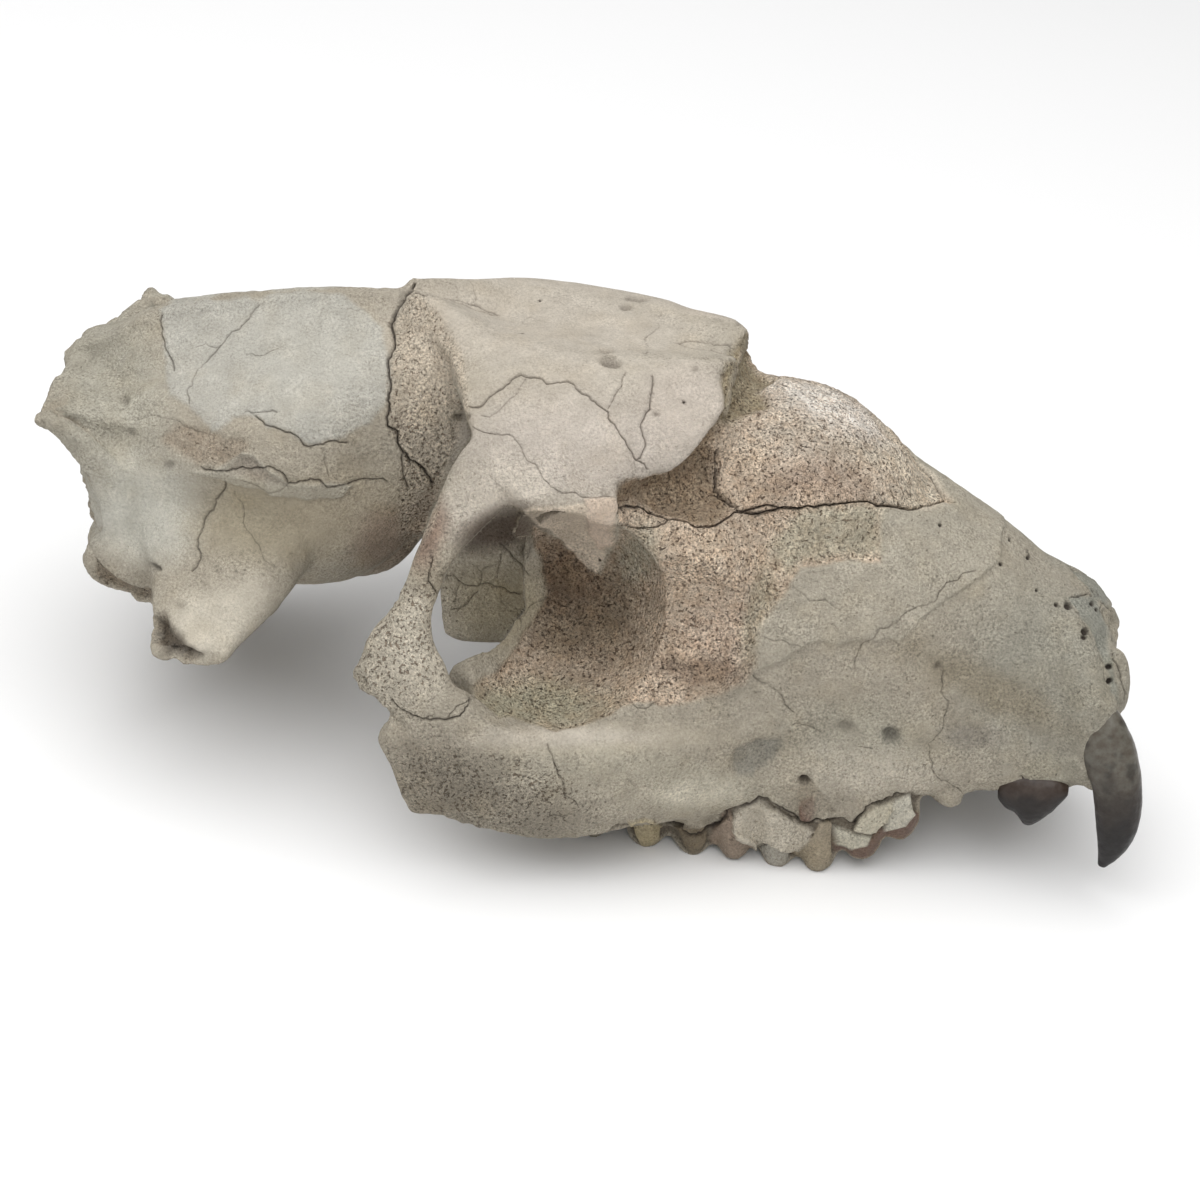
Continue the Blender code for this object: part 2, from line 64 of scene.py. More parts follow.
ROUGH = 0.0008                       # metres across a face of the skin that the hollows cut
GRAIN = 0.00064                      # the same of the fine skin
TOOTH_GRAIN = 0.00028                # the same of the separate teeth
INSET = 0.00005                      # metres kept free inside the box around the solids
SET_BACK = 0.1                       # millimetres that the whole skin is set back
NOSE_UP = math.radians(7.5)          # how the skull is tipped in the row frame
PLACE = (2.2819, -3.1702, -0.6)      # how it is then moved, in millimetres

# The show side: a camera in the skull's frame, its turns in radians and its places in millimetres
YAW, RISE, ROLL = 0.210462658, 0.535675716, -0.0336376775
DISTANCE = 440.533743
AIM = np.array([8.21420415, 28.8781728, 50.5439176])
DRAWING = 1200                       # points across the drawing plane
FOCUS = 2424.27917                   # the camera's focal length in those points
SENSOR = 36                          # its sensor in millimetres


# ---- frames ----------------------------------------------------------------------------------

def camera_rows(yaw, rise, roll):
    """Unit vectors to the right, up and back toward the camera, in (x, r, z)."""
    right = np.array([math.cos(yaw), -math.sin(yaw), 0.0])
    back = np.array([math.sin(yaw), math.cos(yaw), 0.0])
    up = np.array([0.0, 0.0, 1.0])
    toward = math.cos(rise) * back + math.sin(rise) * up
    above = math.cos(rise) * up - math.sin(rise) * back
    return np.array([math.cos(roll) * right + math.sin(roll) * above,
                     -math.sin(roll) * right + math.cos(roll) * above, toward])


ROWS = camera_rows(YAW, RISE, ROLL)
EYE = AIM + ROWS[2] * DISTANCE


def to_skull(points):
    """From the row frame in metres to the skull's frame in millimetres: x, r, z."""
    x, y, z = (points * 1000 - np.array(PLACE)).T
    c, s = math.cos(NOSE_UP), math.sin(NOSE_UP)
    return np.stack((x * c + z * s, -y, -x * s + z * c), axis=1)


def to_row(points):
    """From the skull's frame in millimetres to the row frame in metres."""
    x, r, z = points.T
    c, s = math.cos(NOSE_UP), math.sin(NOSE_UP)
    return (np.stack((x * c - z * s, -r, x * s + z * c), axis=1) + np.array(PLACE)) / 1000


def turn_to_skull(vectors):
    """Directions of the row frame in the skull's frame."""
    x, y, z = vectors.T
    c, s = math.cos(NOSE_UP), math.sin(NOSE_UP)
    return np.stack((x * c + z * s, -y, -x * s + z * c), axis=1)


def drawn_at(points):
    """Where points of the skull's frame fall on the drawing plane."""
    near = (points - AIM) @ ROWS.T
    depth = DISTANCE - near[:, 2]
    return (DRAWING / 2 + FOCUS * near[:, 0] / depth,
            DRAWING / 2 - FOCUS * near[:, 1] / depth)


# ---- noise -----------------------------------------------------------------------------------

def lattice(ix, iy, iz, seed):
    """A chance number from -1 to 1 for each whole place, the same in every run."""
    h = ((ix * 73856093) ^ (iy * 19349663) ^ (iz * 83492791) ^ (seed * 374761393)) & 0xffffffff
    h = ((h ^ (h >> 13)) * 1274126177) & 0xffffffff
    return ((h ^ (h >> 16)) & 0xffff) / 32767.5 - 1.0


def grain(points, size, seed=0):
    """Smooth noise from -1 to 1 with lumps of about that size."""
    q = points / size
    base = np.floor(q).astype(np.int64)
    f = q - base
    f = f * f * (3 - 2 * f)
    total = np.zeros(len(points))
    for dx in (0, 1):
        for dy in (0, 1):
            for dz in (0, 1):
                weight = ((f[:, 0] if dx else 1 - f[:, 0]) * (f[:, 1] if dy else 1 - f[:, 1])
                          * (f[:, 2] if dz else 1 - f[:, 2]))
                total += weight * lattice(base[:, 0] + dx, base[:, 1] + dy, base[:, 2] + dz, seed)
    return total


def fractal(points, size, octaves, seed=0, gain=0.5):
    """Smooth noise in layers, each half as wide as the one before it."""
    total, strength, whole = 0.0, 1.0, 0.0
    for k in range(octaves):
        total = total + strength * grain(points, size / 2 ** k, seed + 17 * k)
        whole += strength
        strength *= gain
    return total / whole


def smooth(low, high, value):
    """0 below low, 1 above high, and a soft step between."""
    t = np.clip((value - low) / (high - low), 0, 1)
    return t * t * (3 - 2 * t)


# ---- the drawing -----------------------------------------------------------------------------

def distance_to(line, u, v, reach):
    """Distance of drawn points to a bent line, as far as reach."""
    found = np.full(len(u), reach, dtype=float)
    low, high = np.min(line, axis=0) - reach, np.max(line, axis=0) + reach
    near = np.flatnonzero((u > low[0]) & (u < high[0]) & (v > low[1]) & (v < high[1]))
    across, down, gap = u[near], v[near], found[near]
    for (u0, v0), (u1, v1) in zip(line, line[1:]):
        du, dv = u1 - u0, v1 - v0
        along = ((across - u0) * du + (down - v0) * dv) / (du * du + dv * dv)
        along = np.clip(along, 0, 1)
        gap = np.minimum(gap, np.hypot(across - u0 - along * du, down - v0 - along * dv))
    found[near] = gap
    return found


def jagged(line, amount, seed):
    """The same line broken into short steps that stray to either side."""
    chance = np.random.default_rng(seed)
    line = [tuple(map(float, place)) for place in line]
    for _ in range(3):
        fresh = line[:1]
        for (u0, v0), (u1, v1) in zip(line, line[1:]):
            length = math.hypot(u1 - u0, v1 - v0)
            if length > 5:
                stray = amount * chance.normal()
                share = chance.uniform(0.35, 0.65)
                fresh.append((u0 + share * (u1 - u0) - stray * (v1 - v0),
                              v0 + share * (v1 - v0) + stray * (u1 - u0)))
            fresh.append((u1, v1))
        line = fresh
    return tuple(line)


def within(outline, u, v, soft):
    """1 inside an outline that ends where it starts and 0 outside it, with a soft edge."""
    inside = np.zeros(len(u), dtype=bool)
    for (u0, v0), (u1, v1) in zip(outline, outline[1:]):
        if v0 == v1:
            continue
        crosses = (v0 > v) != (v1 > v)
        inside ^= crosses & (u < (u1 - u0) * (v - v0) / (v1 - v0) + u0)
    gap = distance_to(outline, u, v, soft)
    return np.where(inside, 0.5 + 0.5 * gap / soft, 0.5 - 0.5 * gap / soft)


def spot(u, v, centre, radii, angle=0.0, soft=0.5):
    """1 in the middle of an oval and 0 outside it."""
    c, s = math.cos(math.radians(angle)), math.sin(math.radians(angle))
    du, dv = u - centre[0], v - centre[1]
    far = np.hypot((du * c + dv * s) / radii[0], (-du * s + dv * c) / radii[1])
    return 1 - smooth(1 - soft, 1 + soft, far)


def tone(red, green, blue):
    """A screen colour as the renderer's linear colour."""
    values = np.array((red, green, blue)) / 255
    return np.where(values < 0.04045, values / 12.92, ((values + 0.055) / 1.055) ** 2.4)


BONE = tone(158, 151, 137)
GRAINED_BONE = tone(184, 173, 156)
ROCK = tone(190, 174, 156)

# The outline of the bare stone in the eye socket and on the snout
STONE = (
    (745, 350), (742, 402), (726, 424), (709, 434), (700, 458), (682, 478), (655, 474), (629, 479),
    (618, 500), (616, 546), (600, 574), (560, 541), (534, 528), (536, 549), (546, 598), (527, 629),
    (508, 659), (470, 688), (500, 716), (556, 730), (606, 716), (640, 701), (700, 700), (724, 694),
    (751, 676),
    (756, 650), (764, 621), (783, 596), (801, 568), (838, 562), (880, 562), (885, 508), (960, 501),
    (930, 450), (880, 410), (800, 375), (752, 345))
# Edges that are worn ragged: (reach in points, millimetres, the line)
RAGGED = (
    (9, 1.3, ((128, 300), (170, 296), (200, 294), (260, 291), (300, 284), (345, 284), (400, 282))),
    (12, 1.6, ((136, 296), (71, 334), (61, 348), (55, 385), (35, 412), (55, 433), (76, 470),
               (92, 520), (84, 549), (87, 567), (111, 589), (143, 602), (150, 640), (173, 666))),
    (8, 1.0, ((354, 680), (392, 720), (408, 752), (411, 800), (480, 828), (580, 838), (605, 827),
              (650, 822), (700, 830), (718, 818), (759, 799))),
    (8, 0.9, ((920, 798), (950, 806), (970, 792), (1020, 788), (1050, 790), (1086, 786))),
    (8, 1.0, ((1085, 745), (1124, 728), (1124, 700), (1118, 640), (1105, 590), (1060, 555))),
    (8, 1.3, ((750, 334), (745, 345), (734, 346), (728, 365), (722, 379), (745, 403), (731, 413),
              (711, 432), (704, 448), (685, 474), (661, 476), (636, 476), (605, 488))),
    (8, 1.2, ((448, 560), (430, 590), (398, 600), (356, 676), (392, 712), (410, 740))),
)
# The outline of the grained strip behind the forehead
GRANULAR = (
    (415, 290), (437, 312), (463, 355), (468, 410), (446, 470), (434, 520), (412, 560), (400, 540),
    (402, 452), (388, 428), (387, 401), (388, 372), (394, 348), (390, 324))

# Breaks and cracks: (width in points, depth in millimetres, the line)
DRAWN_CRACKS = (
    (3.0, 1.1, ((415, 283), (399, 305), (390, 324), (394, 348), (388, 372), (387, 401), (388, 428),
                (402, 452), (410, 462), (425, 470), (433, 486))),
    (2.0, 0.6, ((402, 452), (404, 475), (409, 490))),
    (1.6, 0.4, ((416, 292), (446, 298), (479, 305), (525, 318), (565, 326), (610, 336), (651, 347),
                (704, 341), (731, 345))),
    (1.8, 0.5, ((468, 407), (490, 396), (514, 377), (557, 381), (578, 391), (602, 407), (616, 428),
                (637, 460), (648, 468))),
    (1.8, 0.5, ((652, 375), (645, 418), (645, 439), (637, 460))),
    (1.4, 0.4, ((625, 372), (618, 391), (608, 408))),
    (1.4, 0.3, ((472, 427), (498, 434), (522, 452), (543, 479), (562, 493), (616, 497))),
    (1.4, 0.3, ((661, 310), (659, 326), (637, 343), (630, 360))),
    (1.2, 0.25, ((468, 281), (474, 302))),
    (1.2, 0.2, ((525, 379), (506, 404), (482, 415))),
    (2.6, 1.2, ((618, 514), (648, 511), (669, 517), (704, 525), (718, 523), (736, 511), (800, 510),
                (840, 504), (887, 506), (960, 501))),
    (2.0, 0.8, ((618, 527), (651, 526), (669, 517))),
    (3.0, 1.4, ((724, 452), (721, 483), (734, 501), (761, 514), (801, 509))),
    (1.6, 0.35, ((975, 572), (933, 602), (899, 619), (871, 639), (856, 670))),
    (1.4, 0.3, ((944, 671), (949, 702), (928, 744), (932, 770), (963, 793))),
    (1.4, 0.3, ((792, 726), (810, 728), (835, 737), (873, 749))),
    (1.6, 0.4, ((754, 676), (779, 694), (794, 713))),
    (1.2, 0.25, ((792, 587), (841, 610))),
    (1.2, 0.2, ((763, 636), (798, 644))),
    (3.2, 1.0, ((669, 826), (690, 837), (705, 836), (718, 823), (733, 811), (759, 799), (774, 805),
                (797, 816), (807, 823), (822, 822), (840, 819), (852, 826), (866, 808),
                (886, 800), (904, 795))),
    (1.4, 0.35, ((547, 744), (558, 774), (579, 808))),
    (1.2, 0.25, ((547, 819), (580, 811), (612, 802))),
    (1.4, 0.4, ((418, 720), (447, 720), (468, 700))),
    (2.0, 0.7, ((391, 700), (412, 717), (430, 721), (459, 717), (469, 703), (471, 696))),
    (1.2, 0.3, ((628, 700), (646, 709), (659, 700))),
    (1.6, 0.4, ((260, 305), (250, 321), (226, 342), (208, 364), (194, 383), (191, 404))),
    (1.2, 0.2, ((197, 349), (221, 349))),
    (1.2, 0.25, ((248, 356), (283, 349), (317, 356))),
    (1.4, 0.3, ((135, 417), (170, 419), (191, 427), (210, 436))),
    (1.6, 0.4, ((216, 431), (234, 419), (256, 413), (277, 412))),
    (1.8, 0.6, ((256, 416), (277, 428), (309, 447), (320, 444), (348, 442))),
    (1.4, 0.35, ((320, 444), (329, 476))),
    (1.8, 0.5, ((162, 316), (162, 334), (169, 353), (175, 372))),
    (2.0, 0.6, ((201, 466), (236, 470), (268, 466), (288, 482), (319, 479), (352, 482),
                (388, 482))),
    (1.4, 0.3, ((242, 479), (258, 487), (280, 491), (288, 482))),
    (2.2, 0.5, ((224, 484), (213, 503), (202, 527), (199, 554), (191, 570))),
    (1.2, 0.25, ((232, 495), (242, 522), (261, 551), (293, 578))),
    (1.6, 0.5, ((444, 576), (478, 587), (500, 588), (521, 595))),
    (1.4, 0.4, ((478, 587), (481, 573), (473, 565))),
    (1.4, 0.4, ((483, 570), (500, 562), (501, 555))),
    (1.4, 0.4, ((500, 588), (501, 562))),
    (1.4, 0.4, ((478, 592), (450, 611))),
    (1.2, 0.3, ((460, 584), (453, 603))),
    (1.4, 0.4, ((500, 588), (503, 603), (509, 612), (521, 618), (523, 632))),
    (1.2, 0.3, ((546, 600), (523, 616))),
    (1.4, 0.5, ((500, 545), (519, 562), (530, 576))),
    (1.6, 0.6, ((432, 557), (428, 580), (438, 595))),
    (1.6, 0.5, ((1072, 596), (1095, 595), (1107, 615), (1113, 645), (1125, 700))),
    (1.4, 0.4, ((1072, 602), (1089, 630), (1101, 654), (1107, 682))),
    (1.6, 0.5, ((1021, 776), (1036, 794), (1084, 786))),
)

# Plates, crowns, stone and patches with a crisp edge, laid in order: (height in millimetres,
# softness of the edge in points, colour, cover, rock, gloss, outline)
DRAWN_PLATES = (
    (-0.5, 2.5, ROCK, 1.0, 1.0, 0.0, STONE),
    (0.3, 1.5, tone(186, 174, 158), 1.0, 0.0, 0.0, (
        (523, 512), (616, 497), (616, 546), (607, 550), (596, 574), (586, 568), (562, 541))),
    (0.8, 2.0, tone(196, 180, 164), 1.0, 0.0, 0.0, (
        (584, 500), (612, 497), (617, 505), (615, 543), (600, 547), (588, 528))),
    (0.5, 2.5, tone(186, 168, 150), 0.8, 0.9, 0.0, (
        (672, 648), (690, 644), (700, 652), (694, 664), (676, 662))),
    (0.4, 6.0, tone(172, 168, 150), 0.7, 0.8, 0.0, (
        (800, 512), (884, 510), (880, 552), (836, 556), (800, 562), (786, 575), (770, 545))),
    (-1.4, 4.0, tone(150, 140, 118), 0.9, 1.0, 0.0, (
        (750, 334), (757, 376), (768, 404), (742, 418), (727, 427), (722, 380), (730, 350))),
    # the recess under the forehead's edge: stone, painted darker as the shade that falls in it
    (-1.6, 4.0, tone(134, 118, 98), 0.8, 1.0, 0.0, (
        (724, 424), (721, 480), (733, 504), (716, 523), (697, 523), (668, 511), (640, 505),
        (622, 512), (620, 484), (650, 478), (673, 483), (697, 464), (712, 434))),
    (0.25, 2.5, tone(170, 169, 162), 0.75, 0.0, 0.0, (
        (160, 310), (177, 299), (222, 302), (261, 299), (300, 291), (345, 296), (366, 312),
        (382, 330), (389, 362), (386, 405), (357, 428), (323, 441), (309, 445), (287, 431),
        (258, 417), (233, 417), (212, 432), (191, 406), (171, 395), (166, 358))),
    (-0.5, 3.0, tone(152, 138, 122), 0.5, 0.5, 0.0, (
        (178, 424), (200, 430), (226, 440), (248, 444), (240, 456), (226, 464), (200, 464),
        (176, 452), (160, 440))),
    # a dark brown strip just under the ridge on the braincase, painted as the shade beneath the
    # ridge
    (-1.1, 3.0, tone(96, 74, 60), 0.85, 0.3, 0.0, (
        (228, 470), (240, 457), (252, 458), (264, 468), (286, 484), (262, 480), (244, 474))),
    (0.5, 1.5, tone(164, 160, 148), 0.6, 0.0, 0.0, (
        (190, 472), (212, 470), (228, 463), (242, 451), (254, 454), (266, 466), (290, 483),
        (316, 482), (352, 486), (342, 498), (300, 500), (262, 492), (228, 484))),
    (-2.2, 4.0, tone(72, 66, 60), 0.9, 0.6, 0.0, (
        (150, 617), (164, 615), (176, 630), (186, 648), (200, 656), (186, 662), (166, 658),
        (152, 640))),
    (-0.8, 2.0, tone(120, 110, 96), 0.8, 0.7, 0.0, (
        (94, 560), (108, 572), (128, 586), (150, 590), (150, 606), (122, 600), (96, 582))),
    # the dark band at the foot of the cheek teeth and between them: their darker base, and painted
    # shade
    (-1.0, 1.5, tone(104, 96, 84), 0.9, 0.0, 0.3, (
        (598, 838), (614, 829), (646, 824), (670, 829), (700, 831), (713, 827), (720, 818),
        (732, 811), (746, 804), (760, 799), (776, 808), (802, 820), (816, 824), (838, 819),
        (852, 825), (861, 815), (875, 805), (894, 797), (913, 794), (924, 800), (926, 900),
        (600, 900))),
    (0.8, 1.5, tone(170, 158, 130), 1.0, 0.0, 0.4, (
        (628, 822), (634, 838), (640, 849), (651, 853), (661, 846), (663, 827), (646, 821))),
    (0.6, 1.5, tone(118, 108, 92), 1.0, 0.0, 0.4, (
        (674, 827), (681, 846), (690, 856), (702, 857), (709, 842), (709, 830))),
    (0.9, 1.5, tone(140, 126, 112), 1.0, 0.0, 0.4, (
        (713, 829), (711, 847), (720, 863), (738, 866), (755, 860), (755, 840), (736, 830),
        (730, 812), (720, 820))),
    (0.7, 1.5, tone(158, 154, 144), 1.0, 0.0, 0.4, (
        (758, 848), (765, 842), (779, 848), (793, 852), (793, 868), (776, 872), (760, 864))),
    (0.9, 1.5, tone(148, 138, 120), 1.0, 0.0, 0.35, (
        (796, 853), (802, 848), (813, 834), (819, 825), (834, 822), (833, 834), (834, 856),
        (830, 873), (821, 882), (808, 880), (797, 868))),
    (0.7, 1.5, tone(112, 94, 84), 1.0, 0.0, 0.6, (
        (836, 846), (839, 864), (857, 871), (875, 864), (884, 853), (894, 849), (908, 847),
        (926, 835), (924, 814), (911, 812), (900, 826), (880, 832), (868, 846), (850, 849))),
    (0.9, 1.5, tone(182, 178, 163), 1.0, 0.0, 0.3, (
        (836, 828), (850, 834), (868, 837), (873, 838), (868, 847), (852, 850), (838, 846))),
    (0.9, 1.5, tone(180, 176, 163), 1.0, 0.0, 0.3, (
        (887, 818), (894, 800), (913, 796), (915, 815), (906, 827), (885, 832))),
    (1.5, 1.5, tone(176, 169, 155), 1.0, 0.0, 0.0, (
        (732, 821), (750, 803), (760, 801), (779, 812), (797, 820), (809, 829), (812, 834),
        (807, 844), (800, 851), (791, 852), (779, 850), (767, 843), (760, 844), (755, 850),
        (746, 844), (736, 837), (732, 830))),
    (1.4, 1.5, tone(182, 176, 159), 1.0, 0.0, 0.0, (
        (853, 832), (859, 820), (873, 808), (892, 800), (894, 808), (887, 823), (876, 834),
        (864, 835))),
    (0.2, 1.5, tone(112, 90, 80), 0.9, 0.0, 0.4, (
        (798, 806), (801, 800), (812, 796), (815, 801), (814, 813), (809, 823), (802, 820))),
    (-0.6, 2.0, tone(138, 130, 116), 0.5, 0.0, 0.0, (
        (797, 800), (800, 775), (808, 776), (826, 800), (836, 812), (818, 822), (810, 820))),
    (-0.5, 2.5, tone(118, 118, 112), 0.6, 0.0, 0.0, (
        (734, 762), (742, 748), (760, 740), (780, 741), (784, 750), (770, 764), (752, 778),
        (738, 776))),
    (-0.35, 1.5, tone(132, 134, 126), 0.7, 0.0, 0.0, (
        (1069, 597), (1079, 594), (1097, 596), (1104, 609), (1109, 637), (1114, 674),
        (1120, 704), (1111, 684), (1104, 659), (1094, 634), (1081, 614))),
    (0.35, 1.5, tone(150, 146, 132), 0.6, 0.0, 0.0, (
        (1022, 774), (1039, 754), (1056, 753), (1079, 761), (1087, 771), (1085, 787),
        (1049, 789), (1033, 795))),
    (0.5, 1.5, tone(168, 162, 148), 0.5, 0.0, 0.0, (
        (885, 514), (960, 503), (1000, 520), (1000, 560), (900, 640), (820, 640), (757, 670),
        (764, 621), (783, 596), (801, 568), (838, 562), (880, 562))),
)

# Holes and pits: (centre, radii in points, turn in degrees, depth in millimetres, darkness)
PITS = (
    ((611, 361), (9, 5), 15, 2.2, 0.7), ((626, 306), (5, 3), 0, 1.2, 0.6),
    ((696, 368), (3, 2), 0, 0.5, 0.5), ((657, 413), (2.5, 2), 0, 0.5, 0.6),
    ((461, 418), (8, 3), -10, 0.8, 0.6), ((892, 737), (8, 7), 20, 1.4, 0.6),
    ((939, 667), (4, 3), 0, 0.6, 0.5), ((848, 728), (9, 5), 10, 0.8, 0.4),
    ((804, 781), (5, 4), 0, 1.8, 0.9), ((528, 551), (5, 6), 0, 1.6, 0.8),
    ((124, 401), (5, 4), 0, 0.6, 0.4), ((130, 433), (4, 4), 0, 0.6, 0.4),
    ((168, 466), (5, 4), 0, 0.6, 0.4), ((179, 605), (5, 3), 0, 0.5, 0.3),
    ((218, 570), (4, 3), 0, 0.5, 0.3), ((153, 566), (6, 2.5), 20, 0.9, 0.6),
)

# Small round dark holes on the snout and elsewhere: (across, down, radius)
DOTS = (
    (1001, 564, 2), (1029, 557, 2.2), (1044, 557, 2.2), (1048, 567, 2), (1080, 576, 2.4),
    (1069, 605, 4), (1094, 602, 2.4), (1099, 608, 2), (1057, 604, 2.2), (1086, 631, 4),
    (1085, 637, 2.6), (1109, 667, 3), (1110, 681, 3), (939, 526, 2), (1037, 590, 1.6),
    (1122, 640, 2), (1010, 540, 1.4), (684, 402, 1.6), (540, 300, 1.4), (600, 560, 1.6),
)

# Swellings and hollows: (centre, radii in points, turn in degrees, height in millimetres)
RELIEF = (
    ((250, 350), (80, 50), -10, 0.7), ((250, 470), (70, 12), 8, 0.9),
    ((230, 500), (60, 22), 10, -0.9), ((245, 463), (22, 7), 10, -0.9),
    ((330, 520), (70, 30), -10, -0.4), ((150, 395), (30, 12), 0, 0.6),
    ((120, 440), (40, 14), 25, -0.6), ((190, 560), (40, 30), 0, -0.5),
    ((430, 370), (22, 50), 10, -0.7), ((536, 332), (26, 6), 8, -0.5),
    ((593, 326), (16, 4), 0, -0.4), ((690, 480), (40, 22), -25, -2.2),
    ((759, 756), (24, 15), -15, -0.6), ((860, 720), (60, 20), -10, -0.7),
    ((990, 690), (70, 22), 28, -0.5), ((920, 600), (60, 30), 0, 0.4),
    ((806, 807), (8, 12), 10, 0.8), ((620, 755), (90, 18), 6, 0.5),
    ((590, 800), (80, 14), 6, -0.5), ((640, 655), (60, 40), 20, -0.8),
    ((684, 654), (14, 9), 20, 0.6), ((820, 420), (60, 30), 20, 0.6),
)

# Where the bone is smooth and where it is open and coarse: (centre, radii in points, turn)
CALM = (
    ((270, 370), (120, 70), -8), ((560, 370), (190, 100), 6), ((225, 620), (70, 40), -20),
    ((150, 510), (60, 60), 0), ((265, 520), (80, 40), 8), ((590, 740), (140, 14), -2))
COARSE = (((480, 790), (110, 50), 10), ((400, 640), (50, 80), 20))

CRACK_REACH = 14                     # points to either side of a crack that are looked at
CRACK_STRAY = 0.09                   # how far a crack's short steps stray, as a share of a step
EDGE_STRAY = 0.06                    # the same of a plate's edge; glossy crowns keep theirs even

# Washes of colour, laid in order: (colour, strength, centre, radii, turn)
WASHES = (
    # the back of the head, the root of the cheek arch and the braincase
    (tone(162, 159, 147), 0.8, (110, 400), (60, 90), 0),
    (tone(180, 179, 170), 0.85, (140, 510), (56, 46), 0),
    (tone(146, 138, 119), 0.85, (265, 520), (70, 38), 8),
    (tone(160, 150, 131), 0.7, (350, 510), (60, 40), 0),
    (tone(128, 108, 94), 0.6, (385, 540), (34, 26), -30),
    (tone(181, 175, 162), 0.9, (215, 620), (60, 34), -20),
    # the forehead and the bar behind the eye socket
    (tone(175, 168, 157), 0.9, (560, 330), (160, 60), 6),
    (tone(180, 172, 163), 0.85, (590, 450), (130, 56), 6),
    (tone(181, 172, 162), 0.8, (690, 410), (50, 46), 10),
    (tone(190, 182, 170), 0.8, (490, 500), (60, 30), -30),
    (tone(196, 188, 172), 0.85, (415, 640), (40, 70), 20),
    (tone(136, 126, 108), 0.6, (432, 575), (16, 20), 20),
    (tone(186, 176, 162), 0.8, (425, 370), (30, 70), 0),
    # the upper jaw, the snout and the cheekbone
    (tone(160, 154, 140), 0.8, (950, 560), (100, 50), 30),
    (tone(142, 140, 129), 0.8, (1050, 680), (80, 90), 0),
    (tone(135, 127, 110), 0.8, (990, 690), (84, 19), 28),
    (tone(155, 151, 137), 0.6, (860, 740), (80, 34), 0),
    (tone(160, 154, 138), 0.6, (700, 790), (80, 24), 0),
    # a pale band along the rim of the cheekbone, a painted highlight
    (tone(166, 158, 142), 0.7, (600, 738), (130, 14), -4),
    (tone(132, 125, 112), 0.9, (450, 785), (64, 38), 14),
    (tone(138, 131, 118), 0.7, (530, 815), (60, 22), 6),
    (tone(176, 169, 153), 0.6, (570, 775), (80, 28), 8),
    (tone(132, 132, 122), 0.6, (892, 737), (10, 9), 0),
    (tone(116, 112, 106), 0.5, (975, 735), (26, 11), 10),
    # a narrower, paler band on the same rim, a painted highlight
    (tone(180, 173, 161), 0.9, (560, 737), (84, 10), -2),
    (tone(194, 188, 172), 0.8, (700, 792), (44, 14), -4),
    (tone(170, 164, 148), 0.6, (620, 765), (70, 20), 0),
    (tone(184, 177, 163), 0.6, (860, 770), (70, 24), 0),
    # inside the window behind the eye socket: painted shade behind the bar and under the window's
    # roof, then the bone seen through it
    (tone(122, 100, 86), 0.8, (425, 530), (18, 34), 10),
    (tone(84, 72, 62), 0.9, (500, 530), (44, 18), -14),
    (tone(152, 143, 122), 0.9, (500, 604), (52, 40), 0),
)
ROCK_WASHES = (
    # the lump on the snout
    (tone(186, 175, 161), 0.9, (830, 430), (120, 60), 25),
    (tone(230, 224, 216), 0.85, (840, 400), (80, 26), 22),
    (tone(202, 193, 176), 0.8, (900, 480), (56, 26), 20),
    (tone(166, 146, 130), 0.6, (830, 480), (70, 24), 0),
    # the slope in front of the eye socket
    (tone(188, 172, 154), 0.8, (700, 575), (70, 60), 0),
    (tone(180, 162, 146), 0.6, (730, 640), (50, 40), 0),
    (tone(128, 112, 98), 0.7, (700, 672), (46, 14), 8),
    (tone(160, 156, 138), 0.6, (760, 620), (14, 50), 15),
    # the bowl of the eye socket
    (tone(120, 108, 92), 0.9, (580, 600), (66, 60), 30),
    (tone(116, 98, 82), 0.6, (560, 570), (40, 40), 0),
    (tone(160, 156, 136), 0.85, (530, 704), (80, 26), 0),
    (tone(152, 152, 138), 0.6, (640, 550), (20, 30), 20),
)


def worn_cracks():
    """The drawn cracks, each broken into short steps."""
    return [(width, deep, jagged(line, CRACK_STRAY, k))
            for k, (width, deep, line) in enumerate(DRAWN_CRACKS)]


def worn_plates():
    """The drawn plates, each closed and with a worn edge."""
    worn = []
    for k, (tall, soft, colour, cover, rock, gloss, outline) in enumerate(DRAWN_PLATES):
        edge = jagged(outline + outline[:1], 0.0 if gloss else EDGE_STRAY, k)
        worn.append((tall, soft, colour, cover, rock, gloss, edge))
    return worn


CRACKS = worn_cracks()
PLATES = worn_plates()


# ---- the form --------------------------------------------------------------------------------

def power(value, exponent):
    """A power that keeps the sign."""
    return np.sign(value) * np.abs(value) ** exponent


def flow(stations, fine=5):
    """More stations between those given, on a smooth curve through them."""
    p = np.array(stations, dtype=float)
    p = np.vstack((2 * p[0] - p[1], p, 2 * p[-1] - p[-2]))
    rows = []
    for a, b, c, d in zip(p, p[1:], p[2:], p[3:]):
        for t in np.arange(fine) / fine:
            rows.append(0.5 * (2 * b + (c - a) * t + (2 * a - 5 * b + 4 * c - d) * t ** 2
                               + (3 * b - a - 3 * c + d) * t ** 3))
    rows.append(p[-2])
    return np.array(rows)


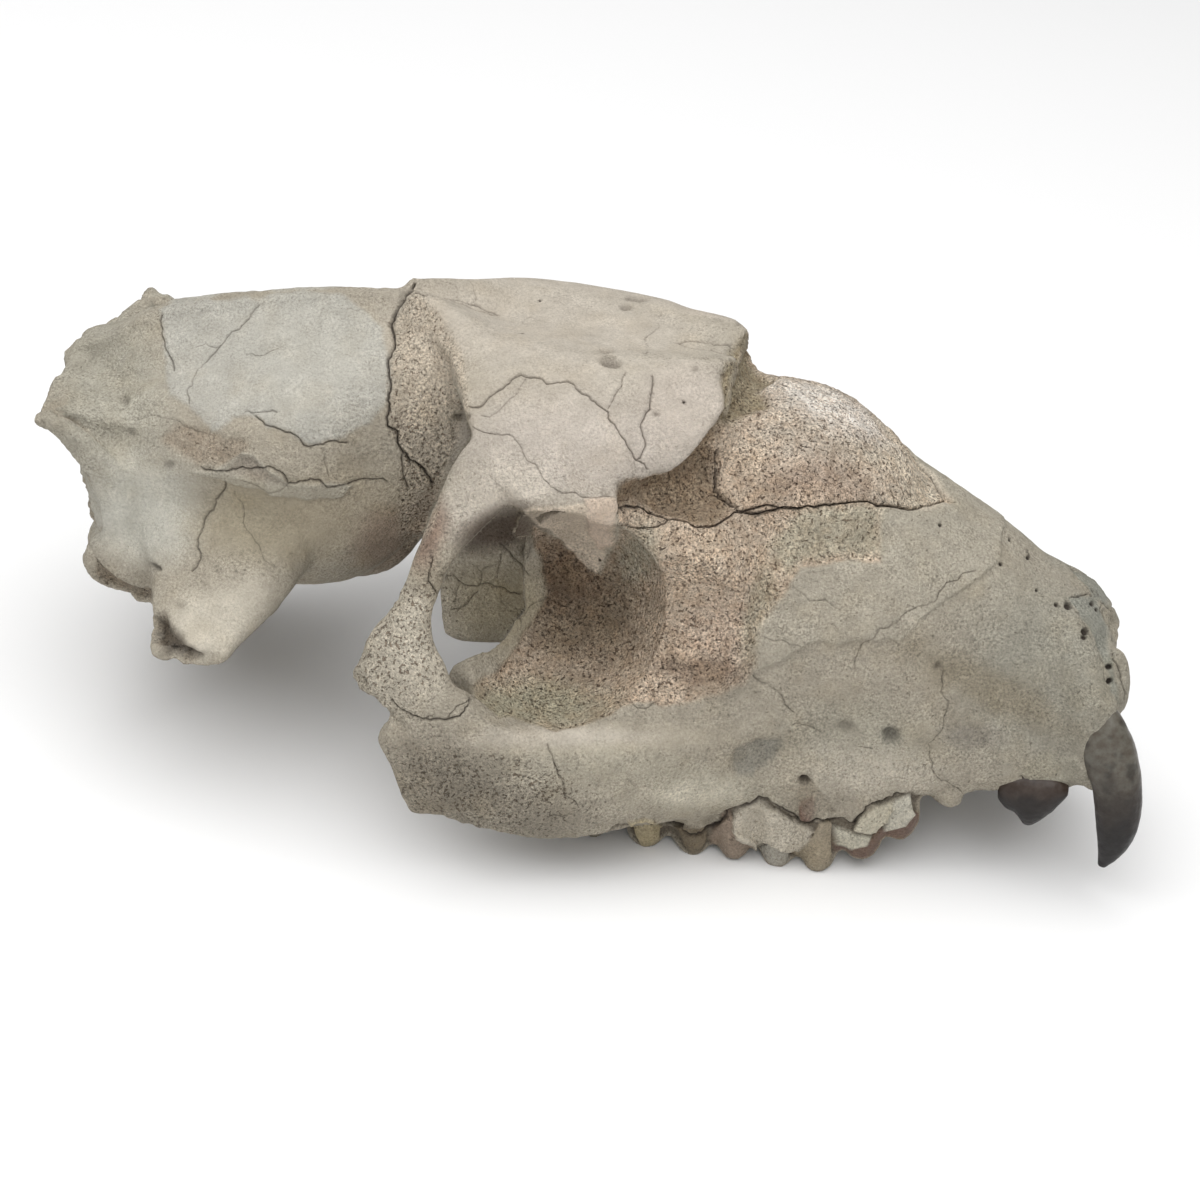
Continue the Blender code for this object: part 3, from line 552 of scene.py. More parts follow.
def skin(rings):
    """A closed form through rings of points of the skull's frame."""
    count = len(rings[0])
    faces = []
    for k in range(len(rings) - 1):
        for j in range(count):
            after = (j + 1) % count
            faces.append((k * count + j, k * count + after, (k + 1) * count + after,
                          (k + 1) * count + j))
    faces.append(tuple(range(count)))
    faces.append(tuple(range((len(rings) - 1) * count, len(rings) * count)))
    mesh = bpy.data.meshes.new("form")
    mesh.from_pydata(to_row(np.concatenate(rings)).tolist(), [], faces)
    body = bmesh.new()
    body.from_mesh(mesh)
    bmesh.ops.recalc_face_normals(body, faces=body.faces)
    body.to_mesh(mesh)
    body.free()
    item = bpy.data.objects.new("form", mesh)
    bpy.context.scene.collection.objects.link(item)
    return item


def around(steps):
    """The cosines and sines of a full turn in even steps."""
    angle = np.arange(steps) * 2 * math.pi / steps
    return np.cos(angle), np.sin(angle)


def cross_sections(stations, low_fullness=2.6, high_fullness=2.3):
    """A form across the midline: stations are (x, half width, lowest, widest, highest)."""
    steps = 96
    across, up = around(steps)
    fullness = np.where(up > 0, high_fullness, low_fullness)
    rings = []
    for x, width, low, wide, high in flow(stations):
        reach = np.where(up > 0, high - wide, wide - low)
        rings.append(np.stack((np.full(steps, x), width * power(across, 2 / fullness),
                               wide + reach * power(up, 2 / fullness)), axis=1))
    return skin(rings)


def strap(stations, side=1, fullness=2.4, lean=0.0):
    """A bar or plate along a path: stations are (x, r, z, half height, half thickness)."""
    rows = flow(stations)
    centres = rows[:, :3] * (1, side, 1)
    outward = np.array((0.0, 1.0, 0.0))
    upright = np.array((0.0, 0.0, 1.0))
    c, s = around(36)
    rings = []
    for k, row in enumerate(rows):
        along = centres[min(k + 1, len(rows) - 1)] - centres[max(k - 1, 0)]
        along /= np.linalg.norm(along)
        thick = outward - outward.dot(along) * along
        thick /= np.linalg.norm(thick)
        tall = np.cross(along, thick)
        if tall.dot(upright) < 0:
            tall = -tall
        upright = tall
        tall, thick = (math.cos(lean) * tall + math.sin(lean) * side * thick,
                       math.cos(lean) * thick - math.sin(lean) * side * tall)
        rings.append(centres[k] + row[3] * power(c, 2 / fullness)[:, None] * tall
                     + row[4] * power(s, 2 / fullness)[:, None] * thick)
    return skin(rings)


def cross_plate(outline, back, front):
    """A plate set across the skull, from an outline of (r, z), a little smaller at both faces."""
    outline = np.array(outline, dtype=float)
    middle = outline.mean(axis=0)
    rings = []
    for x, scale in ((back, 0.94), (back * 0.7 + front * 0.3, 1.0), (front, 0.94)):
        place = middle + (outline - middle) * scale
        rings.append(np.column_stack((np.full(len(place), x), place)))
    return skin(rings)


def blade(outline, thickness, foot):
    """A plate on the midline, from an outline of (x, z), thin above and thick below."""
    outline = np.array(outline, dtype=float)
    low, high = outline[:, 1].min(), outline[:, 1].max()
    share = (outline[:, 1] - low) / (high - low)
    half = foot + (thickness - foot) * share
    return skin([np.column_stack((outline[:, 0], sign * half, outline[:, 1]))
                 for sign in (-1, 1)])


def lump(centre, radii, side=1, tilt=0.0):
    """An egg; tilt turns it nose down."""
    mesh = bpy.data.meshes.new("lump")
    body = bmesh.new()
    bmesh.ops.create_icosphere(body, subdivisions=4, radius=1.0)
    bmesh.ops.reverse_faces(body, faces=body.faces)     # to_row mirrors them back
    body.to_mesh(mesh)
    body.free()
    item = bpy.data.objects.new("lump", mesh)
    bpy.context.scene.collection.objects.link(item)
    x, y, z = (places(item) * radii).T
    c, s = math.cos(tilt), math.sin(tilt)
    turned = np.stack((x * c + z * s, y, -x * s + z * c), axis=1)
    put(item, to_row(turned + np.array(centre) * (1, side, 1)))
    return item


# Stations of cross_sections: (x, half width, lowest, widest, highest)
BRAINCASE = (
    (-94, 20, 48, 62, 76), (-88, 24.5, 43, 64, 80), (-78, 26.5, 40, 66, 84),
    (-66, 28, 38.5, 69, 86.5), (-55, 29, 38, 71, 88.5), (-45, 26.5, 39, 72, 89.5),
    (-37, 22.5, 43.5, 73, 91.5), (-30, 20, 50, 76, 93), (-24, 17.5, 54, 78, 93.5),
    (-17, 14, 54, 77, 92))
FLANKS = (
    (-95, 18, 58, 62, 84), (-88, 23, 58, 64, 87), (-80, 25.5, 60, 66, 90.8),
    (-66, 26.5, 62, 69, 93.2), (-55, 27, 64, 71, 94.6), (-44, 25, 66, 72, 95.8),
    (-37, 21.5, 66, 73, 96.2), (-31, 19, 68, 75, 96.4), (-22, 15, 68, 76, 94.4),
    (-17, 13, 68, 76, 92))
KEEL = (
    (-92, 8, 37, 42, 50), (-80, 9, 35, 42, 55), (-60, 10, 35.5, 42, 55), (-40, 9, 38.5, 43, 56),
    (-31, 8, 47, 51, 62))
CORE = (
    (-31, 16.5, 50, 68, 91), (-24, 12.5, 45, 62, 90), (-15, 10.5, 38, 56, 88),
    (-9, 11, 26, 50, 86), (-4, 15, 18, 46, 86), (4, 21, 13, 40, 84), (12, 26, 9, 30, 82),
    (18, 28, 7, 24, 79), (22, 28, 7, 20, 77))
SPHENOID = (
    (-28, 9.5, 26, 44, 66), (-24, 10.8, 25, 44, 66), (-12, 11, 25, 44, 66), (0, 11, 21, 40, 66))
SOCKET_STONE = (
    (-8, 20, 32, 46, 60), (-6.5, 26, 29, 46, 66), (0, 33, 26, 46, 74), (9, 37.5, 24, 46, 79),
    (18, 38.5, 24, 46, 79), (26, 38, 24, 45, 77), (33, 35, 24, 43, 74), (38, 30, 24, 42, 70))
SNOUT = (
    (8, 19, 9, 22, 72), (17, 25.5, 7, 20, 74), (26, 30, 6, 19, 74), (36, 32, 6, 18, 71.5),
    (46, 31, 6, 18, 68.5), (58, 27.6, 6, 18, 66.5), (66, 25, 6, 18, 62), (73, 22.5, 6, 18, 57.5),
    (80, 20.5, 6.5, 18, 53.2), (87, 19.2, 6.5, 18, 47.5), (94, 18.4, 7.2, 18, 43.8),
    (98.5, 17, 10, 20, 40.3), (102, 12, 15, 25, 34))
# Outlines of the blade on the midline (x, z) and of the plates across the back of the head (r, z)
CREST = (
    (-96, 76), (-101.5, 80.5), (-100, 83.6), (-90, 86.5), (-84, 89.8), (-80, 91.2),
    (-70, 93), (-55, 95), (-44, 96.4), (-31, 97), (-22, 95), (-14, 90), (-14, 76))
REAR_WALL = ((-24, 78), (0, 81), (24, 78), (25, 66), (21, 46), (-21, 46), (-25, 66))
REAR_RIM = ((-24, 79), (0, 81.5), (24, 79), (20, 71), (0, 66), (-20, 71))
# Stations of straps: (x, r, z, half height, half thickness)
NUCHAL_CREST = (
    (-97, -2, 79, 3, 4), (-97.3, 8, 78.4, 3, 3.6), (-96.3, 16, 78, 3, 3.4),
    (-95.2, 23, 78.4, 2.8, 3), (-95.2, 28, 79.8, 1.9, 1.9), (-95.4, 30.8, 80.8, 0.9, 0.9))
FLANGE = (
    (-93, 28, 79.6, 2, 2), (-87.5, 27.2, 73, 3.4, 2.2), (-83.8, 25.6, 64, 4.4, 3),
    (-84, 24.5, 55, 4.4, 3.4), (-84.5, 24.5, 48, 4, 3.4))
SPUR = (
    (-84, 22, 50, 8, 5), (-83, 22.5, 38, 7, 4.5), (-81, 22.5, 26, 5.5, 4), (-80, 22, 16, 4, 3.2),
    (-79.5, 21.5, 11, 3, 2.5))
LEFT_ARCH = (
    (-72, 36, 50, 5, 5), (-66, 43, 49, 7, 5), (-58, 50, 47.5, 7, 4.5), (-48, 55, 45.5, 6.5, 4),
    (-37, 57, 42, 6.5, 3.8), (-27, 56.5, 37, 7, 4), (-17, 54, 31, 8, 4))
ORBITAL_BAR = (
    (-8, 29.5, 80, 6, 2.4), (-11.2, 33.6, 76, 6.2, 2.7), (-14.8, 38, 71, 4.8, 3),
    (-18.3, 41.4, 65.5, 3.5, 3.2), (-20.6, 44, 59.5, 3.2, 3.2), (-22.8, 46, 54, 4.2, 3.4),
    (-24, 48.5, 45.4, 8, 3.2), (-18.2, 50, 35.5, 6.4, 3.4))
CHEEK = (
    (-25.6, 51.4, 23, 6.5, 2.4), (-24.4, 51.3, 23.4, 8.6, 3), (-21, 51, 25.6, 11.8, 3.6),
    (-15, 49.6, 28, 14.3, 4), (-7, 48.4, 24, 13.2, 4.6), (3, 45.4, 21.6, 12.6, 5.4),
    (12, 40.6, 22.2, 13.2, 6.4), (20, 35.4, 22, 14.5, 7), (28, 30, 21.5, 15.5, 7.6),
    (37, 24.5, 21, 15, 8))
SOCKET_FLOOR = (
    (-14.5, 44, 38, 4, 4), (-10.5, 38, 37, 7, 10), (-5, 34, 35, 11, 13), (3, 31, 32, 14, 15),
    (14, 28, 26, 15, 16), (24, 24, 25, 15, 15))
BROW = ((-6, 30, 66, 7, 2.5), (1, 28.5, 64, 10, 3), (8, 28.5, 63, 11, 3), (15, 28, 64, 10, 3))
GUM = (
    (-10, 27, 16, 7, 5), (-4, 27, 16, 9.5, 7), (10, 27, 16.5, 10.5, 7.3), (26, 26.6, 17, 11, 7.2),
    (42, 24.5, 17, 11, 6.8))
CANINE = (
    (97.6, 15.2, 28, 3.0, 2.0), (99.6, 17.2, 24, 4.4, 3.0), (101.2, 17.8, 19, 5.1, 3.5),
    (103.1, 18.3, 13, 4.7, 3.5), (103.9, 18.6, 6.5, 4.3, 3.2), (103.7, 18.6, 1, 3.5, 2.7),
    (102.8, 18.4, -3.4, 2.1, 1.8), (101.8, 18.3, -6.5, 0.7, 0.7))
SNAPPED_CANINE = (
    (97.5, 17, 24, 3.6, 2.8), (98.3, 17.2, 18, 3.8, 3), (99.2, 17.5, 13, 3.9, 3),
    (99.6, 17.6, 10.4, 3.2, 2.4))
# Stations of the arch root, outward: (x, r, z, half length, half height)
ARCH_ROOT = (
    (-65, 19, 60, 20, 13), (-64, 27, 54.5, 16.5, 9.5), (-63.6, 34, 49.4, 12.5, 6.4),
    (-64.6, 41, 45.5, 9.5, 3.9), (-65, 47.4, 43, 7.5, 2.4))
# Stations of the forehead: (x, half width, height of its edge, height of its middle)
FOREHEAD = (
    (-33, 5, 93.6, 96.6), (-26, 10.5, 93, 95.8), (-20, 18.5, 91.2, 94.2), (-14, 30, 85.5, 92.4),
    (-8, 35.5, 77.5, 91.8), (0, 37.5, 73, 91), (7, 36.5, 73, 90.2), (13, 34, 73.5, 89.6),
    (18, 28.5, 75, 89.2), (23, 25.5, 76.5, 88.8), (27, 21.5, 81, 88.2), (30.5, 16, 85, 87.8))
# Stations of the first premolar: (x, lowest, highest, half breadth)
PREMOLAR = (
    (81.5, 7, 10.6, 1.2), (83, 5, 12.2, 2.2), (85, 4, 13, 2.7), (86.8, 1.6, 13.2, 3),
    (88.4, 1.8, 13, 3), (90.8, 4, 12.8, 2.7), (93, 6.6, 12.2, 2), (94.6, 9, 11, 1))
# Lobes of the cheek teeth: (x, outer r, half length, breadth, tip height)
TEETH = (
    (-4, 34, 5, 13.5, 0.6), (6, 34.5, 5.2, 14, -0.6), (16, 34, 4.8, 14, -2.2),
    (25, 33.5, 4.7, 13.5, -3.2), (33, 33, 4.3, 13, -3.8), (41, 32, 4.3, 12.5, -5.6),
    (48.6, 31, 4.2, 12, -6.4), (56.5, 28.5, 4.6, 9, -4), (63.5, 26, 3.8, 7, -0.6))

SOCKET_HOLLOWS = (
    ((3.5, 47, 54), (20.5, 27, 20.3), 0.0),      # the window behind the eye socket
    ((-20, 27, 50), (12.5, 15.5, 17), 0.0),      # the temple gap behind it
    ((29, 51, 53), (26, 20, 22), 12.0))          # the bowl of the eye socket


def forehead(grow=0.0):
    """The roof between the eye sockets, curved down to its edges; grow makes it a cutter."""
    steps = 61
    share = np.linspace(-1, 1, steps)
    rings = []
    for x, width, edge, middle in flow(FOREHEAD):
        width += grow
        drop = (middle - edge) * np.abs(share) ** 3.4
        swell = 2.2 * np.sin(math.pi * np.minimum(1.0, np.abs(share) * 1.15)) ** 2
        top = np.stack((np.full(steps, x), width * share, middle - drop + swell + 3 * grow),
                       axis=1)
        under = middle - drop - 5 - 5 * (1 - share ** 2) - grow
        bottom = np.stack((np.full(steps, x), 0.93 * width * share, under), axis=1)
        rings.append(np.concatenate((top, bottom[::-1])))
    return skin(rings)


def snout_stone(grow=0.0):
    """The lump of stone on the snout; grow makes it a cutter."""
    return lump((41, 0, 63.2), (26 + grow, 21.5 + grow, 16.5 + grow), tilt=math.radians(24))


def arch_root(stations, side):
    """The root of a cheek arch, which narrows outward."""
    steps = 48
    c, s = around(steps)
    return skin([np.stack((x + length * power(c, 0.8), np.full(steps, side * r),
                           z + height * power(s, 0.8)), axis=1)
                 for x, r, z, length, height in flow(stations)])


def cheek_teeth(side):
    """A row of lobed crowns, each spread a little at the gum and drawn in at its tip."""
    steps = 24
    c, s = around(steps)
    items = []
    for x, outer, half, breadth, tip in TEETH:
        rings = []
        for z, spread in flow(((14, 0.95), (7, 1.03), (3, 1.05), (tip + 2, 0.84), (tip, 0.36)), 3):
            centre = outer - breadth / 2 * (0.35 + 0.65 * spread)
            rings.append(np.stack((x + half * spread * c,
                                   side * (centre + breadth / 2 * spread * s),
                                   np.full(steps, z)), axis=1))
        items.append(skin(rings))
    return items


def premolar(side):
    """A blade with one point and long shoulders, 18 mm from the midline."""
    steps = 24
    c, s = around(steps)
    return skin([np.stack((np.full(steps, x), side * (18 + half * c),
                           (low + high) / 2 + (high - low) / 2 * s), axis=1)
                 for x, low, high, half in flow(PREMOLAR)])


def back_of_head():
    """The braincase with its crest and keel, and the walls and plates behind it."""
    items = [
        cross_sections(BRAINCASE), cross_sections(FLANKS, 2.6, 1.25), blade(CREST, 1.6, 6.0),
        cross_sections(KEEL), cross_plate(REAR_WALL, -91.5, -82), cross_plate(REAR_RIM, -97, -86),
        arch_root(ARCH_ROOT, 1), arch_root(ARCH_ROOT[:4], -1),
        strap(SPUR, -1), lump((-79, 24, 45), (7.5, 5, 6)), strap(LEFT_ARCH, -1)]
    for side in (1, -1):
        items += [
            strap(NUCHAL_CREST, side), strap(FLANGE, side),
            lump((-91.5, 10, 43.5), (7.5, 7.5, 8), side),          # beside the neck joint
            lump((-85, 25.5, 49.5), (8, 5.5, 6.5), side),          # behind the ear
            lump((-66, 14, 38), (8.5, 6.5, 7), side)]              # the ear capsule
    return items


def middle_of_head():
    """The forehead, the stone under it, and the bones around the eye sockets."""
    items = [
        forehead(), cross_sections(CORE, 3.6, 3.2), cross_sections(SOCKET_STONE),
        cross_sections(SPHENOID, 5), lump((22.5, 0, 75.5), (12.5, 21.5, 10.5))]
    for side in (1, -1):
        items += [
            strap(ORBITAL_BAR, side), strap(CHEEK, side), strap(SOCKET_FLOOR, side),
            strap(BROW, side, lean=math.radians(33)),
            lump((-28.8, 50, 43.7), (4.6, 2.4, 3.6), side)]        # the point behind the bar
    return items


def front_of_head():
    """The snout, its stone, the sockets of the canines and the cheek teeth."""
    items = [
        cross_sections(SNOUT, 4.8, 2.6), snout_stone(),
        lump((97.5, 16, 22), (6, 4.2, 13), tilt=math.radians(-8)),
        lump((95, 16, 22), (5.5, 3.8, 12), -1, math.radians(-8)),
        lump((101, 10, 29), (3.4, 4.2, 8))]
    for side in (1, -1):
        items += [strap(GUM, side), lump((72.7, 20.5, 8), (3, 2.4, 2.4), side)]
        items += cheek_teeth(side)
    return items


def hollows():
    """What is cut out: the eye sockets, the vault of the palate and the openings."""
    items = [
        lump((42, 0, 3), (62, 18, 12)),              # the vault of the palate
        lump((-12, 0, 22), (22, 7, 12)),             # the throat behind it
        lump((-96, 0, 51), (12, 6.5, 5.5)),          # the opening for the spinal cord
        lump((105, 0, 25), (8, 10, 9))]              # the opening of the nose
    for side in (1, -1):
        for centre, radii, tilt in SOCKET_HOLLOWS:
            items.append(lump(centre, radii, side, math.radians(tilt)))
    return items


def fused():
    """All forms melted into one fine skin, with the hollows cut out and their edges softened."""
    items = back_of_head() + middle_of_head() + front_of_head()
    bpy.ops.object.select_all(action="DESELECT")
    for item in items:
        item.select_set(True)
    bpy.context.view_layer.objects.active = items[0]
    bpy.ops.object.join()
    skull = items[0]
    skull.name = "skull"
    apply(skull, "REMESH", mode="VOXEL", voxel_size=ROUGH)
    for cutter in hollows():
        apply(skull, "BOOLEAN", operation="DIFFERENCE", solver="EXACT", object=cutter)
        bpy.data.objects.remove(cutter)
    apply(skull, "REMESH", mode="VOXEL", voxel_size=GRAIN)
    apply(skull, "SMOOTH", factor=0.5, iterations=6)
    return skull


# ---- the fine skin ---------------------------------------------------------------------------

def only(item):
    """Select this object alone."""
    bpy.ops.object.select_all(action="DESELECT")
    item.select_set(True)
    bpy.context.view_layer.objects.active = item


def apply(item, kind, **settings):
    """Add a modifier and apply it at once."""
    change = item.modifiers.new(kind.title(), kind)
    for key, value in settings.items():
        setattr(change, key, value)
    only(item)
    bpy.ops.object.modifier_apply(modifier=change.name)


def places(item):
    """The places of the vertices."""
    flat = np.empty(len(item.data.vertices) * 3)
    item.data.vertices.foreach_get("co", flat)
    return flat.reshape(-1, 3)


def normals(item):
    """The directions that the surface faces at the vertices."""
    flat = np.empty(len(item.data.vertices) * 3)
    item.data.vertex_normals.foreach_get("vector", flat)
    return flat.reshape(-1, 3)


def put(item, spots):
    """Move the vertices to these places."""
    item.data.vertices.foreach_set("co", spots.ravel())
    item.data.update()


def put_inside(item, spots):
    """Move the vertices to these places, kept just inside the box of the solid model."""
    put(item, np.clip(spots, np.array(cad_low) + INSET, np.array(cad_high) - INSET))


def seen_from(item, points, facing, mirrored, cast):
    """How squarely each point faces the show side, and 0 where something hides it."""
    eye = EYE * np.array((1, -1, 1)) if mirrored else EYE
    ray = eye - points
    ray /= np.linalg.norm(ray, axis=1)[:, None]
    square = (facing * ray).sum(axis=1)
    seen = np.clip(square, 0, 1)
    if not cast:
        return seen
    tree = BVHTree.FromObject(item, bpy.context.evaluated_depsgraph_get())
    start = to_row(points + facing * 0.25 + ray * 0.6)
    heading = to_row(points + ray) - to_row(points)
    heading /= np.linalg.norm(heading, axis=1)[:, None]
    for k in np.flatnonzero(square > 0.03):
        if tree.ray_cast(Vector(start[k]), Vector(heading[k]), 0.4)[0] is not None:
            seen[k] = 0
    return seen


class Drawing:
    """Where the vertices of a skin fall on the drawing plane, from the show side or mirrored.

    u and v are true places. bent_u and bent_v stray a little, so that drawn lines look worn.
    """

    def __init__(self, item, cast):
        self.points = to_skull(places(item))
        facing = turn_to_skull(normals(item))
        right = seen_from(item, self.points, facing, False, cast)
        left = seen_from(item, self.points, facing, True, cast)
        self.mirrored = left > right
        flip = np.where(self.mirrored, -1.0, 1.0)[:, None] * np.array((0, 1, 0)) + (1, 0, 1)
        self.u, self.v = drawn_at(self.points * flip)
        self.seen = np.maximum(right, left)
        self.facing = facing
        sway = 1.8 * fractal(self.points, 3.0, 3, 5, 0.6)
        swing = 1.8 * fractal(self.points, 3.0, 3, 7, 0.6)
        self.bent_u = self.u + sway + 3.0 * self.mirrored * grain(self.points, 12.0, 9)
        self.bent_v = self.v + swing + 3.0 * self.mirrored * grain(self.points, 12.0, 10)


def crack_depths(drawing):
    """The depth of the cracks at each vertex, and how dark they are."""
    depth = np.zeros(len(drawing.u))
    dark = np.zeros(len(drawing.u))
    swell = 0.75 + 0.45 * fractal(drawing.points, 2.4, 2, 51)
    faint = smooth(-0.75, 0.1, fractal(drawing.points, 6.0, 2, 52))
    for width, deep, line in CRACKS:
        gap = distance_to(line, drawing.bent_u, drawing.bent_v, CRACK_REACH)
        thin = np.maximum(0.5, width * 0.62 * swell)
        shown = faint if deep < 0.5 else 1.0
        depth = np.maximum(depth, shown * 0.8 * deep * np.exp(-(gap / thin) ** 2))
        shade = min(1.0, 0.35 + deep * 0.6)
        dark = np.maximum(dark, shown * shade * np.exp(-(gap / (0.72 * thin)) ** 2))
    shown = smooth(0.02, 0.2, drawing.seen)
    return depth * shown, dark * shown


def refine(item, reach):
    """Split the faces near the drawn lines, so that the lines can be narrow."""
    drawing = Drawing(item, cast=False)
    near = np.zeros(len(drawing.u), dtype=bool)
    for width, _, line in CRACKS:
        near |= distance_to(line, drawing.bent_u, drawing.bent_v, CRACK_REACH) < width * 0.7 + reach
    for _, soft, _, _, _, _, outline in PLATES:
        if soft < 3:
            near |= distance_to(outline, drawing.bent_u, drawing.bent_v, CRACK_REACH) < reach + 1
    for across, down, radius in DOTS:
        near |= np.hypot(drawing.u - across, drawing.v - down) < radius + reach
    near &= drawing.seen > 0.05
    if reach < 2:
        near &= ~drawing.mirrored
    only(item)
    bpy.ops.object.mode_set(mode="EDIT")
    bpy.ops.mesh.select_mode(type="VERT")
    bpy.ops.mesh.select_all(action="DESELECT")
    bpy.ops.object.mode_set(mode="OBJECT")
    item.data.vertices.foreach_set("select", near)
    bpy.ops.object.mode_set(mode="EDIT")
    bpy.ops.mesh.subdivide(number_cuts=1, smoothness=0)
    bpy.ops.object.mode_set(mode="OBJECT")


def hidden_stone(points):
    """1 on the stone deep in the eye sockets, which the drawing doesn't reach."""
    x, r, z = points.T
    along = smooth(-16, -12, x) * (1 - smooth(12, 16, x))
    up = smooth(24, 27, z) * (1 - smooth(72, 76, z))
    return along * up * (1 - smooth(34, 37, np.abs(r)))


def washed(drawing, shown, base, washes):
    """A colour for each vertex: the base with its washes."""
    points = drawing.points
    colour = np.tile(base, (len(points), 1))
    u = drawing.u + 8 * fractal(points, 8.0, 3, 21)
    v = drawing.v + 8 * fractal(points, 8.0, 3, 22)
    for wash, strength, centre, radii, turn in washes:
        share = strength * shown * spot(u, v, centre, radii, turn, 0.6)
        colour += share[:, None] * (wash - colour)
    return colour


def roughness(drawing, shown):
    """0 where the bone is smooth, 1 where it is open and coarse."""
    calm = np.max([spot(drawing.u, drawing.v, *oval) for oval in CALM], axis=0)
    coarse = np.max([spot(drawing.u, drawing.v, *oval) for oval in COARSE], axis=0)
    return np.clip(0.6 - 0.4 * shown * calm + 0.4 * shown * coarse, 0, 1)


def worn_edges(drawing):
    """How much of its height each vertex loses at the ragged edges, in millimetres."""
    lost = np.zeros(len(drawing.u))
    for reach, wear, line in RAGGED:
        near = 1 - distance_to(line, drawing.u, drawing.v, reach) / reach
        lost += near * wear * smooth(-0.3, 0.7, fractal(drawing.points, 2.6, 3, 61))
    return lost


def depths(drawing, shown):
    """How deep the cracks, pits and small holes are at each vertex, and how dark."""
    deep, dark = crack_depths(drawing)
    for centre, radii, turn, depth, shade in PITS:
        hole = spot(drawing.bent_u, drawing.bent_v, centre, radii, turn, 0.5) * shown
        deep = np.maximum(deep, depth * hole)
        dark = np.maximum(dark, 0.8 * shade * hole)
    for across, down, radius in DOTS:
        far = np.hypot(drawing.u - across, drawing.v - down)
        hole = (1 - smooth(radius * 0.6, radius * 1.3, far)) * shown
        deep = np.maximum(deep, 0.25 * radius * hole)
        dark = np.maximum(dark, hole)
    return deep, dark


def carve(item):
    """Move the vertices along their normals, and lay the paint."""
    drawing = Drawing(item, cast=True)
    points, u, v = drawing.points, drawing.bent_u, drawing.bent_v
    shown = smooth(0.02, 0.25, drawing.seen)
    colour = washed(drawing, shown, BONE, WASHES)
    stone = washed(drawing, shown, ROCK, ROCK_WASHES)
    rough = roughness(drawing, shown)
    rock = (1 - shown) * hidden_stone(points)
    gloss = np.zeros(len(points))
    granular = shown * within(GRANULAR + GRANULAR[:1], u, v, 4.0)

    height = 0.22 * fractal(points, 9.0, 2, 1) + 0.3 * rough * fractal(points, 2.4, 3, 2, 0.6)
    for k, (tall, soft, paint, cover, rocky, shine, outline) in enumerate(PLATES):
        share = shown * within(outline, u, v, soft)
        height += share * tall
        rock += share * (rocky - rock)
        gloss += share * (shine - gloss)
        top = paint if k else stone                 # the first plate is the bare stone
        colour += (share * cover)[:, None] * (top - colour)
    for centre, radii, turn, tall in RELIEF:
        height += shown * tall * spot(u, v, centre, radii, turn, 0.9)
    height += rock * (0.4 * fractal(points, 2.6, 3, 3) + 0.22 * fractal(points, 0.9, 2, 4))
    height += granular * (0.3 * fractal(points, 1.8, 2, 11) - 0.15)
    deep, dark = depths(drawing, shown)
    height -= worn_edges(drawing) + deep + SET_BACK
    put_inside(item, to_row(points + drawing.facing * height[:, None]))

    mottle = fractal(points, 12.0, 3, 23)
    fine = fractal(points, 1.6, 2, 24)
    colour *= (1 + 0.08 * mottle + (0.05 + 0.12 * rock + 0.06 * rough) * fine)[:, None]
    colour += (0.6 * granular)[:, None] * (GRAINED_BONE - colour)
    warm = np.clip(0.5 * fractal(points, 5.0, 3, 26), 0, 1)[:, None] * np.array((0, 0.02, 0.045))
    lay_paint(item, np.clip(colour - warm, 0.01, 0.95))
    carried = {
        "known": np.ones(len(points)), "crack": dark, "gloss": gloss,
        "rock": np.clip(rock + 0.4 * granular, 0, 1),
        "rough": np.clip(rough + 0.5 * granular, 0, 1)}
    for name, values in carried.items():
        layer = item.data.attributes.new(name, "FLOAT", "POINT")
        layer.data.foreach_set("value", values)


def lay_paint(item, colour):
    """Give each vertex its colour."""
    layer = item.data.color_attributes.new("paint", "FLOAT_COLOR", "POINT")
    layer.data.foreach_set("color", np.hstack((colour, np.ones((len(colour), 1)))).ravel())


# ---- parting ---------------------------------------------------------------------------------

def box(low, high):
    """A box between two corners of the skull's frame."""
    (x0, r0, z0), (x1, r1, z1) = low, high
    return skin([np.array([(x, r0, z0), (x, r1, z0), (x, r1, z1), (x, r0, z1)], dtype=float)
                 for x in (x0, x1)])


def split(rest, cutter, name):
    """Take what the cutter holds off the rest."""
    piece = rest.copy()
    piece.data = rest.data.copy()
    piece.name = name
    bpy.context.scene.collection.objects.link(piece)
    apply(piece, "BOOLEAN", operation="INTERSECT", solver="MANIFOLD", object=cutter)
    apply(rest, "BOOLEAN", operation="DIFFERENCE", solver="MANIFOLD", object=cutter)
    bpy.data.objects.remove(cutter)
    return piece


# What each vertex carries: (name, how many numbers, where they are kept)
CARRIED = (
    ("paint", 4, "color"), ("crack", 1, "value"), ("rock", 1, "value"), ("rough", 1, "value"),
    ("gloss", 1, "value"))


